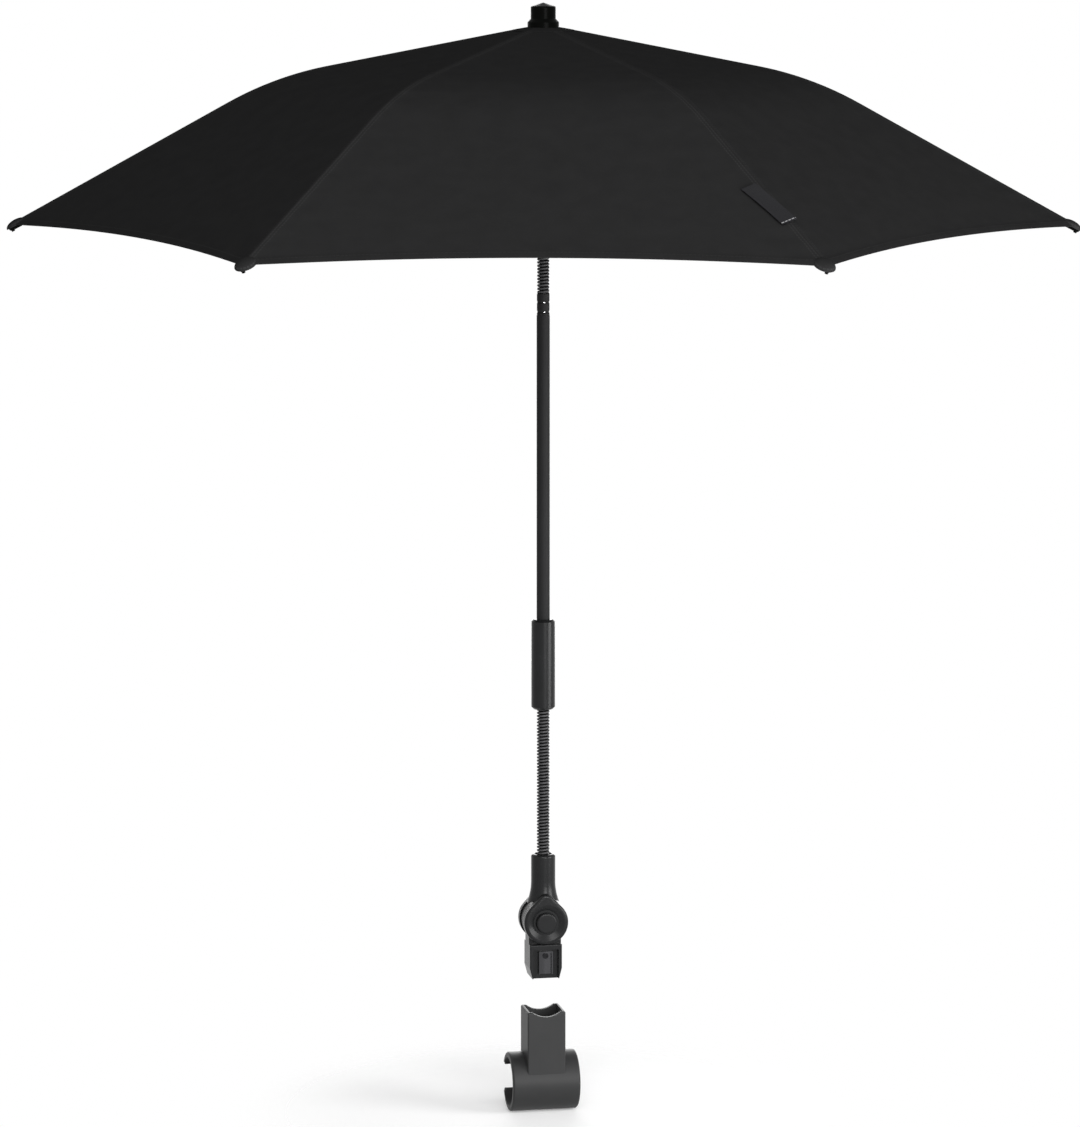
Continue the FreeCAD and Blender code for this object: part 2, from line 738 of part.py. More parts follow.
def hinge_fork():
    """Make the fork: two ears round the knuckle that flare into the neck."""
    depth = "2 * ear_half"
    back = "mast_offset - ear_half"
    disc = rod("fork_disc", "disc_radius", depth, "y", y=back, z="hinge_height")
    peak = rod("fork_peak", "peak_radius", depth, "y", y=back, z="hinge_height + peak_rise")
    lean = "((disc_radius - peak_radius) / peak_rise)"
    upright = f"sqrt(1 - {lean} ^ 2)"
    low = (f"disc_radius * {upright}", f"disc_radius * {lean}")
    high = (f"peak_radius * {upright}", f"peak_rise + peak_radius * {lean}")
    cheeks = new_body("fork_cheeks", facing_front("hinge_height"))
    points = [low, high, (f"-{high[0]}", high[1]), (f"-{low[0]}", low[1])]
    feature(cheeks, "Pad", outline(cheeks, "XY_Plane", points), depth)
    bell = rod("fork_bell", FLARE_OUT, f"{FLARE_HIGH} - {FLARE_LOW}", y="mast_offset",
               z=f"hinge_height + {FLARE_LOW}")
    hollow = doc.addObject("Part::Torus", "fork_bell_curve")
    bind(hollow, Radius1=f"neck_radius + {FLARE_CURVE}", Radius2=FLARE_CURVE, y="mast_offset",
         z=f"hinge_height + {FLARE_HIGH}")
    neck = rod("fork_neck", "neck_radius", f"neck_length - {FLARE_HIGH}", y="mast_offset",
               z=f"hinge_height + {FLARE_HIGH}")
    mass = fuse("fork_mass", disc, peak, cheeks, cut("fork_flare", bell, hollow), neck)
    slot = rod("fork_slot", "slot_radius", "2 * (knuckle_half + running_gap)", "y",
               y="mast_offset - knuckle_half - running_gap", z="hinge_height")
    bore = rod("fork_bore", "ferrule_radius + fit_gap", "neck_top", y="mast_offset", z="neck_bore_bottom")
    floor = "ear_half - dish_depth"
    over = "ear_half + cut_overrun"
    dish = turned("fork_dish", [("0", floor), ("dish_floor_radius", floor), ("dish_radius", "ear_half"),
                                ("dish_radius", over), ("0", over)], facing_front("hinge_height"))
    hole = rod("fork_button_hole", "button_radius + running_gap / 2",
               f"ear_half - {BUTTON_SEAT} + cut_overrun", "y", y=f"{back} - cut_overrun", z="hinge_height")
    teeth = lock_teeth("fork_teeth", "ear_half", "knuckle_half", "tooth_gap")
    axle = rod("fork_axle_hole", "axle_radius + fit_gap", "ear_half + cut_overrun", "y",
               y="mast_offset + knuckle_half", z="hinge_height")
    head = rod("fork_axle_seat", "axle_head_radius + running_gap", "ear_half", "y",
               y="mast_offset + axle_head_front - running_gap", z="hinge_height")
    fork = cut("fork_cut", mass, slot, bore, dish, hole, teeth, axle, head)

    def rim(edge):
        reach = [abs(end - size("mast_offset")) for end in (edge.BoundBox.YMin, edge.BoundBox.YMax)]
        on_face = all(math.isclose(far, size("ear_half"), abs_tol=size("fit_gap")) for far in reach)
        middle = edge.valueAt((edge.FirstParameter + edge.LastParameter) / 2.0)
        spread = math.hypot(middle.x, middle.z - size("hinge_height"))
        return on_face and spread > size("dish_radius") + size("fit_gap")

    fork = rounded("fork_rim", fork, "disc_round", rim)
    return keep(rounded("hinge_fork", fork, "neck_round", ring_at("neck_top", "neck_radius")))


def hinge_axle():
    """Make the axle pin, its head sunk in the back ear."""
    points = [("0", "-axle_head_back"), ("axle_head_radius", "-axle_head_back"),
              ("axle_head_radius", "-axle_head_front"), ("axle_radius", "-axle_head_front"),
              ("axle_radius", "-axle_end"), ("0", "-axle_end")]
    return keep(turned("hinge_axle", points, facing_front("hinge_height")))


def hinge_button():
    """Make the release button with the stem that pushes the lock gear."""
    points = [("0", "gear_front"), ("stem_radius", "gear_front"), ("stem_radius", "button_back"),
              ("button_radius", "button_back"), ("button_radius", "button_front"), ("0", "button_front")]
    body = turned("hinge_button", points, facing_front("hinge_height"))
    return keep(soften(body, "button_round", ring_at("button_front", "button_radius")))


def lock_gear():
    """Make the toothed gear that locks the fork to the knuckle, hollow for its spring."""
    body = lock_teeth("lock_gear", "gear_front", "gear_back", "0")
    hollow = new_sketch(body, "XY_Plane", "gear_back")
    hollow.addGeometry(Part.Circle(Vector(0, 0, 0), Vector(0, 0, 1), size("spring_pocket_radius")))
    hollow.addConstraint(Sketcher.Constraint("Coincident", 0, 3, -1, 1))
    number = hollow.addConstraint(Sketcher.Constraint("Radius", 0, size("spring_pocket_radius")))
    hollow.setExpression(f"Constraints[{number}]", formula("spring_pocket_radius"))
    feature(body, "Pocket", hollow, "spring_pocket_front - gear_back", both_sides=False, back=True)
    return keep(body)


def lock_spring():
    """Make the spring between the knuckle and the lock gear."""
    spring = winding("lock_spring", size("spring_radius"), size("spring_wire"), size("spring_turns"),
                     worth(GEAR_SEAT), size("spring_pocket_front"), Vector(0, 0, 0))
    spring.Placement = facing_front("hinge_height")
    return spring


# Goosenecks and mast

def ferrule(label, bottom, top):
    """Make a plain end ferrule of the lower gooseneck."""
    points = [("0", bottom), ("ferrule_radius", bottom), ("ferrule_radius", top), ("0", top)]
    return keep(turned(label, points))


def core(label, radius, bottom, top):
    """Make the inner core that a gooseneck is wound on."""
    return keep(turned(label, [("0", bottom), (radius, bottom), (radius, top), ("0", top)]))


def gooseneck(name, bottom, top):
    """Make the wound outside of a gooseneck between two faces."""
    sizes = [size(f"{name}_{part}") for part in ("coil_radius", "wire", "turns")]
    label = "gooseneck_coil" if name == "lower" else "tilt_coil"
    return winding(label, *sizes, size(bottom), size(top), Vector(0, size("mast_offset"), 0))


def coupling_sleeve():
    """Make the sleeve that joins the lower gooseneck to the mast."""
    low = "ferrule_radius + fit_gap"
    high = "mast_radius + fit_gap"
    side = "sleeve_radius - sleeve_chamfer"
    points = [(low, "sleeve_bottom"), (side, "sleeve_bottom"),
              ("sleeve_radius", "sleeve_bottom + sleeve_chamfer"),
              ("sleeve_radius", "sleeve_top - sleeve_chamfer"), (side, "sleeve_top"), (high, "sleeve_top"),
              (high, "mast_foot"), ("0", "mast_foot"), ("0", "sleeve_web_bottom"), (low, "sleeve_web_bottom")]
    return keep(turned("coupling_sleeve", points))


def mast_tube():
    """Make the plain tube of the mast."""
    inside = "mast_radius - mast_wall"
    return keep(turned("mast_tube", [(inside, "mast_foot"), ("mast_radius", "mast_foot"),
                                     ("mast_radius", "mast_top"), (inside, "mast_top")]))


def tilt_ferrule():
    """Make the crimped ferrule on the mast, with two waists and a spigot in the tube."""
    spigot = "mast_radius - mast_wall - fit_gap"
    waists = []
    for waist in ("crimp_lower_waist", "crimp_upper_waist"):
        waists += [("crimp_radius", f"{waist} - crimp_half"), ("crimp_waist_radius", waist),
                   ("crimp_radius", f"{waist} + crimp_half")]
    points = [("0", "mast_top - spigot_length"), (spigot, "mast_top - spigot_length"), (spigot, "mast_top"),
              ("crimp_radius", "mast_top"), *waists, ("crimp_radius", "crimp_top"), ("0", "crimp_top")]
    body = turned("tilt_ferrule_turned", points)
    holes = [crimp_pin(f"tilt_hole_{waist}", waist, "fit_gap") for waist in ("lower", "upper")]
    return keep(cut("tilt_ferrule", body, *holes))


def crimp_pin(label, waist, gap):
    """Return one crimp pin, or its hole, in a waist of the ferrule."""
    return rod(label, f"crimp_pin_radius + {gap}", f"crimp_pin_length + {gap}", "y",
               y="mast_offset - crimp_waist_radius - fit_gap", z=f"crimp_{waist}_waist")


def ferrule_pins():
    """Make the two pins that show as bright dots on the ferrule."""
    pins = doc.addObject("Part::Compound", "ferrule_pins")
    pins.Links = [crimp_pin(f"pin_{waist}", waist, "0") for waist in ("lower", "upper")]
    return keep(pins)


def head_shaft():
    """Make the shaft under the canopy, closed at its foot where the tilt gooseneck ends."""
    inside = "mast_radius - mast_wall"
    points = [("0", "tilt_coil_top"), ("mast_radius", "tilt_coil_top"), ("mast_radius", "shaft_top"),
              (inside, "shaft_top"), (inside, "tilt_coil_top + shaft_plug"),
              ("0", "tilt_coil_top + shaft_plug")]
    return keep(turned("head_shaft", points))


# Head

def spoke_cuts(body, outlines, length, back=False):
    """Cut outlines on the body's XY plane once for each rib."""
    for points, start in outlines:
        sketch = outline(body, "XY_Plane", points, start)
        pocket = feature(body, "Pocket", sketch, length, both_sides=False, back=back)
        pattern = body.newObject("PartDesign::PolarPattern", f"{body.Name}_spokes")
        pattern.Originals = [pocket]
        pattern.Axis = (sketch, ["N_Axis"])
        pattern.Angle = FULL_TURN
        pattern.Occurrences = RIBS
        body.Tip = pattern
    return body


def spoke_outline(inner, outer, width):
    """Return the corners of a radial slot."""
    half = f"({width}) / 2"
    return [(inner, f"-{half}"), (outer, f"-{half}"), (outer, half), (inner, half)]


def turned_on_mast(label, points):
    """Return a body turned about the mast and clocked with the ribs."""
    placement = Placement(Vector(0, size("mast_offset"), 0), Rotation(Vector(0, 0, 1), size("canopy_angle")))
    return turned(label, points, placement)


def rib_hub():
    """Make the hub: a spool with a wire groove and a slot for each rib."""
    bore = "mast_radius + fit_gap"
    low = "pivot_height - wire_groove / 2"
    high = "pivot_height + wire_groove / 2"
    points = [(bore, "hub_bottom"), ("hub_radius", "hub_bottom"), ("hub_radius", low),
              ("wire_groove_inner", low), ("wire_groove_inner", high), ("hub_radius", high),
              ("hub_radius", "hub_top"), (bore, "hub_top")]
    body = turned_on_mast("hub", points)
    slot = spoke_outline("hub_slot_inner", "hub_radius + cut_overrun", "hub_slot_width")
    return keep(spoke_cuts(body, [(slot, "hub_slot_ceiling")], "hub_slot_ceiling - hub_bottom + cut_overrun"))


def hub_wire():
    """Make the wire that the ribs hinge on: a six-sided ring with rounded corners."""
    side = math.pi / RIBS
    corner = size("wire_corner")
    reach = size("pivot_radius")
    half = reach * math.tan(side) - corner * math.tan(side)
    inset = reach - corner
    edges = []
    for index in range(RIBS):
        spin = Rotation(Vector(0, 0, 1), rib_azimuth(index))
        bend = Rotation(Vector(0, 0, 1), rib_azimuth(index) + math.degrees(side))
        next_spin = Rotation(Vector(0, 0, 1), rib_azimuth(index + 1))
        begin = spin.multVec(Vector(reach, -half, 0))
        finish = spin.multVec(Vector(reach, half, 0))
        edges.append(Part.LineSegment(begin, finish).toShape())
        middle = bend.multVec(Vector(inset / math.cos(side) + corner, 0, 0))
        edges.append(Part.Arc(finish, middle, next_spin.multVec(Vector(reach, -half, 0))).toShape())
    start = Rotation(Vector(0, 0, 1), rib_azimuth(0))
    section = Part.Wire([Part.Circle(start.multVec(Vector(reach, -half, 0)), start.multVec(Vector(0, 1, 0)),
                                     size("wire_radius")).toShape()])
    sweep = Part.BRepOffsetAPI.MakePipeShell(Part.Wire(edges))
    sweep.add(section)
    sweep.build()
    sweep.makeSolid()
    wire = doc.addObject("Part::Feature", "hub_wire")
    wire.Shape = sweep.shape()
    wire.Placement = Placement(Vector(0, size("mast_offset"), size("pivot_height")), Rotation())
    return keep(wire)


def canopy_washer():
    """Make the washer between the hub and the cloth."""
    bore = "mast_radius + fit_gap"
    return keep(turned("canopy_washer", [(bore, "hub_top"), ("washer_radius", "hub_top"),
                                         ("washer_radius", "washer_top"), (bore, "washer_top")]))


def finial():
    """Make the finial: a stem in the shaft, a collar on the cloth and a domed cap."""
    stem = "mast_radius - mast_wall - fit_gap"
    points = [("0", "apex_height - stem_depth"), (stem, "apex_height - stem_depth"), (stem, "apex_height"),
              ("collar_radius", "apex_height"), ("collar_radius", "collar_top"), ("cap_radius", "cap_bottom"),
              ("cap_radius", "cap_side_top"), ("0", "cap_top")]
    return keep(soften(turned("finial", points), "cap_round", ring_at("cap_side_top", "cap_radius")))


# Canopy cloth

def cloth_section(azimuth):
    """Return the closed outline of the cloth in one rib's plane: lines joined by an arc."""
    hole, collar, crown, tip = crown_profile()
    inner, outer = falls()
    turn = outer - inner
    tangent = size("cloth_bend_radius") * math.tan(turn / 2.0)
    before = (crown[0] - tangent * math.cos(inner), crown[1] + tangent * math.sin(inner))
    after = (crown[0] + tangent * math.cos(outer), crown[1] - tangent * math.sin(outer))
    sag = size("cloth_bend_radius") * (1.0 / math.cos(turn / 2.0) - 1.0)
    mean = (inner + outer) / 2.0
    middle = (crown[0] - sag * math.sin(mean), crown[1] - sag * math.cos(mean))
    spin = Rotation(Vector(0, 0, 1), azimuth)

    def place(point, below):
        return spin.multVec(Vector(point[0], 0, point[1] - below)) + Vector(0, size("mast_offset"), 0)

    under = size("cloth")
    edges = [
        Part.LineSegment(place(hole, 0), place(collar, 0)),
        Part.LineSegment(place(collar, 0), place(before, 0)),
        Part.Arc(place(before, 0), place(middle, 0), place(after, 0)),
        Part.LineSegment(place(after, 0), place(tip, 0)),
        Part.LineSegment(place(tip, 0), place(tip, under)),
        Part.LineSegment(place(tip, under), place(after, under)),
        Part.Arc(place(after, under), place(middle, under), place(before, under)),
        Part.LineSegment(place(before, under), place(collar, under)),
        Part.LineSegment(place(collar, under), place(hole, under)),
        Part.LineSegment(place(hole, under), place(hole, 0)),
    ]
    return Part.Wire([edge.toShape() for edge in edges])


def canopy():
    """Make the cloth: six gores between the ribs, with scalloped hems."""
    half_gore = math.pi / RIBS
    tip = size("cloth_tip_radius")
    chord = 2.0 * tip * math.sin(half_gore)
    hem_radius = chord ** 2 / (8.0 * size("scallop")) + size("scallop") / 2.0
    hem_middle = tip * math.cos(half_gore) - size("scallop") + hem_radius
    foot = size("apex_height") - size("cloth_tip_drop") - size("cut_overrun")
    height = size("cloth_tip_drop")
    gores = []
    for index in range(RIBS):
        sections = [cloth_section(rib_azimuth(index)), cloth_section(rib_azimuth(index + 1))]
        gore = Part.makeLoft(sections, True, True)
        aim = Rotation(Vector(0, 0, 1), rib_azimuth(index) + math.degrees(half_gore))
        hem = Part.makeCylinder(hem_radius, height,
                                aim.multVec(Vector(hem_middle, 0, foot)) + Vector(0, size("mast_offset"), 0))
        gores.append(gore.cut(hem))
    whole = gores[0].fuse(gores[1:]).removeSplitter()
    cloth = doc.addObject("Part::Feature", "canopy")
    cloth.Shape = whole.Solids[0]
    return keep(cloth)


def label_tag():
    """Make the bare label tag that is sewn beside the front right seam."""
    _, _, crown, tip = crown_profile()
    _, outer = falls()
    rib = RIBS - 1

    def on_rib(index, point):
        spin = Rotation(Vector(0, 0, 1), rib_azimuth(index))
        return spin.multVec(Vector(point[0], 0, point[1])) + Vector(0, size("mast_offset"), 0)

    start = (size("label_start_radius"), crown[1] - (size("label_start_radius") - crown[0]) * math.tan(outer))
    along = (on_rib(rib, tip) - on_rib(rib, start)).normalize()
    across = on_rib(rib - 1, start) - on_rib(rib, start)
    outward = across.cross(along).normalize()
    across = along.cross(outward).normalize()
    tag = doc.addObject("Part::Box", "label_tag")
    bind(tag, Length="label_length", Width="label_width", Height="label_sheet")
    lift = outward * (size("running_gap") + size("label_sheet"))
    tag.Placement = Placement(on_rib(rib, start) + lift, Rotation(along, across, -outward, "XYZ"))
    return keep(tag)


# Folding frame

def inner_rib(index, places):
    """Make one inner rib: a folded channel with a flat eye, lugs and rivet holes."""
    body = new_body(f"inner_rib_{index + 1}",
                    about_mast(rib_azimuth(index), places["pivot"], places["rib_fall"]))
    half = "rib_width / 2"
    top = "rib_height / 2"
    inside = "(rib_width / 2 - rib_sheet)"
    ceiling = "(rib_height / 2 - rib_sheet)"
    length = f"(elbow_radius - pivot_radius) / cos({places['rib_fall']} rad)"
    channel = [(f"-{half}", f"-{top}"), (f"-{inside}", f"-{top}"), (f"-{inside}", ceiling), (inside, ceiling),
               (inside, f"-{top}"), (half, f"-{top}"), (half, top), (f"-{half}", top)]
    feature(body, "Pad", outline(body, "YZ_Plane", channel, "channel_start"),
            f"{length} + elbow_overhang - channel_start", both_sides=False)
    tang = [("0", "-tang_half"), ("tang_end", "-tang_half"), ("tang_end", top), ("channel_start", top),
            ("0", "tang_half")]
    feature(body, "Pad", outline(body, "XZ_Plane", tang), "tang_width")
    feature(body, "Pad", circles(body, "XZ_Plane", ("0", "0", "eye_radius")), "tang_width")
    foot = "-lug_drop - eye_radius"
    lug = [("lug_place - lug_half", foot), ("lug_place + lug_half", foot),
           ("lug_place + lug_top_half", f"-{top}"), ("lug_place + lug_top_half", top),
           ("lug_place - lug_top_half", top),
           ("lug_place - lug_top_half", f"-{top}")]
    feature(body, "Pad", outline(body, "XZ_Plane", lug), "rib_width")
    reach = "lug_top_half + rib_sheet"
    room = [(f"lug_place - {reach}", f"{foot} - cut_overrun"),
            (f"lug_place + {reach}", f"{foot} - cut_overrun"),
            (f"lug_place + {reach}", ceiling), (f"lug_place - {reach}", ceiling)]
    feature(body, "Pocket", outline(body, "XZ_Plane", room), f"2 * {inside}")
    holes = circles(body, "XZ_Plane", ("0", "0", "eye_hole"),
                    ("lug_place", "-lug_drop", "rivet_radius + fit_gap"),
                    (length, "-elbow_drop", "rivet_radius + fit_gap"))
    feature(body, "Pocket", holes, "rib_width + cut_overrun")
    return keep(body)


def rib_rivets(index, places):
    """Make the two rivets of one rib, at its lugs and at its elbow."""
    rivets = []
    for name, place in (("lug", places["lug"]), ("elbow", places["elbow"])):
        side = "rib_width / 2"
        points = [("0", f"-({side}) - rivet_head"), ("rivet_head_radius", f"-({side}) - rivet_head"),
                  ("rivet_head_radius", f"-({side})"), ("rivet_radius", f"-({side})"), ("rivet_radius", side),
                  ("rivet_head_radius", side), ("rivet_head_radius", f"{side} + rivet_head"),
                  ("0", f"{side} + rivet_head")]
        across = about_mast(rib_azimuth(index), place) * Placement(Vector(), AXES["y"])
        rivets.append(turned(f"rivet_{name}_{index + 1}", points, across))
    pair = doc.addObject("Part::Compound", f"rib_rivets_{index + 1}")
    pair.Links = rivets
    return keep(pair)


def outer_rib(index, places):
    """Make one outer rib: a rod with a flattened eye that hinges in the channel."""
    body = new_body(f"outer_rib_{index + 1}",
                    about_mast(rib_azimuth(index), places["elbow"], places["rod_fall"]))
    length = f"(tip_radius - elbow_radius) / cos({places['rod_fall']} rad) - tip_cap_wall"
    half = [("0", "0"), (length, "0"), (length, "rod_radius"), ("0", "rod_radius")]
    sketch = outline(body, "XZ_Plane", half)
    bar = body.newObject("PartDesign::Revolution", f"{body.Name}_rod")
    bar.Profile = sketch
    bar.ReferenceAxis = (sketch, ["H_Axis"])
    bar.Angle = FULL_TURN
    feature(body, "Pad", circles(body, "XZ_Plane", ("0", "0", "rod_eye_radius")), "rod_flat")
    for side in (True, False):
        edge = "rod_flat / 2"
        sign = "-" if side else ""
        far = "rod_radius + rod_flat"
        flat = [("-rod_flat", f"{sign}{edge}"), ("rod_eye_length", f"{sign}{edge}"),
                ("rod_eye_length", f"{sign}({far})"), ("-rod_flat", f"{sign}({far})")]
        feature(body, "Pocket", outline(body, "XY_Plane", flat), "2 * rod_radius + cut_overrun")
    feature(body, "Pocket", circles(body, "XZ_Plane", ("0", "0", "rivet_radius + fit_gap")),
            "rod_flat + cut_overrun")
    return keep(body)


def rib_tip(index, places):
    """Make one tip cap: a rounded cap over the rod's end with a small nub below."""
    body = new_body(f"rib_tip_{index + 1}",
                    about_mast(rib_azimuth(index), places["elbow"], places["rod_fall"]))
    end = f"((tip_radius - elbow_radius) / cos({places['rod_fall']} rad))"
    back = f"{end} - tip_cap_length"
    bore = "rod_radius + fit_gap"
    floor = f"{end} - tip_cap_wall + fit_gap"
    points = [(back, bore), (back, "tip_cap_radius"), (end, "tip_cap_radius"), (end, "0"), (floor, "0"),
              (floor, bore)]
    sketch = outline(body, "XZ_Plane", points)
    cap = body.newObject("PartDesign::Revolution", f"{body.Name}_cap")
    cap.Profile = sketch
    cap.ReferenceAxis = (sketch, ["H_Axis"])
    cap.Angle = FULL_TURN
    reach = size("tip_cap_radius") - size("fit_gap")
    soften(body, "tip_cap_radius - 2 * fit_gap", lambda edge: far_ring(edge, places, reach))
    nub = circles(body, "XY_Plane", (f"{end} - tip_nub_inset", "0", "tip_nub_radius"))
    feature(body, "Pad", nub, "tip_nub_drop", both_sides=False, back=True)
    room = outline(body, "XZ_Plane", [(back, "0"), (floor, "0"), (floor, bore), (back, bore)])
    hollow = body.newObject("PartDesign::Groove", f"{body.Name}_bore")
    hollow.Profile = room
    hollow.ReferenceAxis = (room, ["H_Axis"])
    hollow.Angle = FULL_TURN
    return keep(body)


def far_ring(edge, places, reach):
    """Say whether an edge is the cap's outer circle at the far end of its rod."""
    if not hasattr(edge.Curve, "Radius") or edge.Curve.Radius < reach:
        return False
    end = (size("tip_radius") - size("elbow_radius")) / math.cos(places["rod_fall"])
    return edge.Curve.Center.x > end - size("tip_cap_length") / 2.0


def stretcher(index, places):
    """Make one stretcher: a flat bar with an eye at the rib and a cross bar at the runner."""
    azimuth = rib_azimuth(index)
    spin = about_mast(azimuth, places["lug"], math.pi - places["stretcher_fall"])
    body = new_body(f"stretcher_{index + 1}", spin)
    length = str(places["stretcher"])
    half = "stretcher_height / 2"
    bar = [("0", f"-{half}"), (length, f"-{half}"), (length, half), ("0", half)]
    feature(body, "Pad", outline(body, "XZ_Plane", bar), "stretcher_width")
    feature(body, "Pad", circles(body, "XZ_Plane", ("0", "0", "eye_radius"), (length, "0", "eye_radius")),
            "stretcher_width")
    feature(body, "Pad", circles(body, "XZ_Plane", (length, "0", "trunnion_radius")), "2 * trunnion_half")
    feature(body, "Pocket", circles(body, "XZ_Plane", ("0", "0", "rivet_radius + fit_gap")),
            "stretcher_width + cut_overrun")
    return keep(body)


def runner(places):
    """Make the runner: a crown with a T-shaped channel for each stretcher, and a sleeve."""
    level = str(places["runner"])
    low = f"{level} - runner_crown_half"
    high = f"{level} + runner_crown_half"
    foot = f"{low} - runner_sleeve_length"
    points = [("runner_bore", foot), ("runner_sleeve_radius", foot), ("runner_sleeve_radius", low),
              ("runner_crown_radius", low), ("runner_crown_radius", high), ("runner_bore", high)]
    body = turned_on_mast("runner", points)

    def crown_edge(edge):
        return hasattr(edge.Curve, "Radius") and edge.Curve.Radius > size("pivot_radius")

    soften(body, "runner_round", crown_edge)
    slot = spoke_outline("channel_inner", "runner_crown_radius + cut_overrun", "channel_width")
    cross = spoke_outline("pivot_radius - cross_half_depth", "pivot_radius + cross_half_depth",
                          "2 * cross_half_width")
    start = f"{high} + cut_overrun"
    return keep(spoke_cuts(body, [(slot, start), (cross, start)], "2 * runner_crown_half + 2 * cut_overrun"))


def build():
    """Make every sub-part of the parasol."""
    clip_body()
    hinge_base()
    latch_leaf()
    latch_screw()
    hinge_fork()
    hinge_axle()
    hinge_button()
    lock_gear()
    lock_spring()
    ferrule("gooseneck_end_ferrule", "neck_bore_bottom", "lower_coil_bottom")
    gooseneck("lower", "lower_coil_bottom", "lower_coil_top")
    core("gooseneck_core", "lower_core_radius", "lower_coil_bottom", "lower_coil_top")
    ferrule("gooseneck_top_ferrule", "lower_coil_top", "sleeve_web_bottom")
    coupling_sleeve()
    mast_tube()
    tilt_ferrule()
    ferrule_pins()
    gooseneck("tilt", "crimp_top", "tilt_coil_top")
    core("tilt_core", "tilt_core_radius", "crimp_top", "tilt_coil_top")
    head_shaft()
    rib_hub()
    hub_wire()
    canopy_washer()
    finial()
    canopy()
    label_tag()
    places = frame_places()
    runner(places)
    for index in range(RIBS):
        inner_rib(index, places)
        rib_rivets(index, places)
        outer_rib(index, places)
        rib_tip(index, places)
        stretcher(index, places)
    doc.recompute()


def write_out():
    """Check every object and write each sub-part to its own file."""
    for thing in doc.Objects:
        if "Invalid" in thing.State or "Error" in thing.State:
            raise RuntimeError(f"{thing.Label} failed: {thing.State}")
    os.makedirs("parts", exist_ok=True)
    for thing in sub_parts:
        shape = thing.Shape
        if shape.isNull() or not shape.isValid() or not shape.Solids:
            raise RuntimeError(f"{thing.Label} is not a valid solid")
        shape.exportStep(f"parts/{thing.Label}.step")
        print(f"{thing.Label}: {len(shape.Solids)} solid(s), {shape.Volume:.0f} mm3")


build()
write_out()
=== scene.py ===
"""Looks of the pram parasol: cloth, goosenecks, spring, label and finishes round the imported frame."""

import json
import logging
import math
from contextlib import contextmanager
from dataclasses import dataclass, field
from enum import Enum
from typing import Callable, Iterator, Sequence, Union

import bpy
from mathutils import Matrix, Vector


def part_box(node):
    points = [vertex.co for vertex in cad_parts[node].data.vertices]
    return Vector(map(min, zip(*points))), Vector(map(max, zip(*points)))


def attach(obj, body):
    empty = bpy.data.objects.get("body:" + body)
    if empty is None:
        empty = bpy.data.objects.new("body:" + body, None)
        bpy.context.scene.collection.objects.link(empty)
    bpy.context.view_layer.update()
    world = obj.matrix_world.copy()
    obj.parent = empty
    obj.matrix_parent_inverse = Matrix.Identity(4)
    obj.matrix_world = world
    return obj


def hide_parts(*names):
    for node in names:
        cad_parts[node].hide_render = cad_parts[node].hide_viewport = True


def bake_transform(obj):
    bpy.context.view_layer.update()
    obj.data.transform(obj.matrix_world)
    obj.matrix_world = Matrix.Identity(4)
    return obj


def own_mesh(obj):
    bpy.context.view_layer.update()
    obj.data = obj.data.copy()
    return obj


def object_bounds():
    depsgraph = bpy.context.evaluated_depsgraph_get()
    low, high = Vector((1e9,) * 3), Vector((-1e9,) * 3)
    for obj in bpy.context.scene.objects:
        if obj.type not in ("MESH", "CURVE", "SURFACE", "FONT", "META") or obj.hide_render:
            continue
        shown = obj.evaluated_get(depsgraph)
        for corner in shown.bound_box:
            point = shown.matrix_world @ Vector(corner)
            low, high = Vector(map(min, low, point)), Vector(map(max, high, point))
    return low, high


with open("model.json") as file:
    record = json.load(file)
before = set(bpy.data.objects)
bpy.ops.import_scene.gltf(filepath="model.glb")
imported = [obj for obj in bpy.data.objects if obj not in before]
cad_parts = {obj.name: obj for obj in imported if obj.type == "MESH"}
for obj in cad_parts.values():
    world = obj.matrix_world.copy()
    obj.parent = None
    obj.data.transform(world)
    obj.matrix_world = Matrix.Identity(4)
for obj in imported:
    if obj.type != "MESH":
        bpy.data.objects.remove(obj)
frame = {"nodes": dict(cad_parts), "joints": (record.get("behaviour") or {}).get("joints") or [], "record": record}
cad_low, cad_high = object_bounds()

Piece = bpy.types.Object
Node = bpy.types.Node
Socket = bpy.types.NodeSocket
Feed = Union[Socket, float, Sequence[float]]
Outputs = bpy.types.NodeOutputs
Colour = tuple[float, float, float]
Pair = tuple[float, float]

LOG = logging.getLogger("parasol")
MM = 0.001
MERGE_GAP = 0.01 * MM
UP = Vector((0.0, 0.0, 1.0))
RIBS = 6
GORE_HALF = math.pi / RIBS
CLOTH_MAPS = ("cloth", "seam", "hem")
COLOUR_MIX_INPUTS = (0, 6, 7)
COLOUR_MIX_RESULT = 2
STITCH_SHARE = 0.72
DRAWN_SQUEEZE = (1.0, 1.0, 0.04)


class Slot(Enum):
    """The record's material slots."""

    CLOTH = "canopy_cloth"
    LABEL = "label_weave"
    PLASTIC = "moulded_plastic"
    GLOSS = "gloss_plastic"
    TUBE = "black_tube"
    WINDING = "black_winding"
    RIB = "rib_metal"
    STEEL = "bright_steel"


class Side(Enum):
    """The side of a rib that a piece of cloth lies on, seen from above."""

    LEFT = 1
    RIGHT = -1


class Stretch(Enum):
    """The stretch of a rib that a piece of cloth lies on."""

    INNER = "inner"
    OUTER = "outer"


def joint(name: str) -> dict:
    """Return the frame's joint of that name."""
    return next(row for row in frame["joints"] if row["name"] == name)


MAST = Vector((joint("hinge_tilt")["pos_m"][0], joint("hinge_tilt")["pos_m"][1], 0.0))


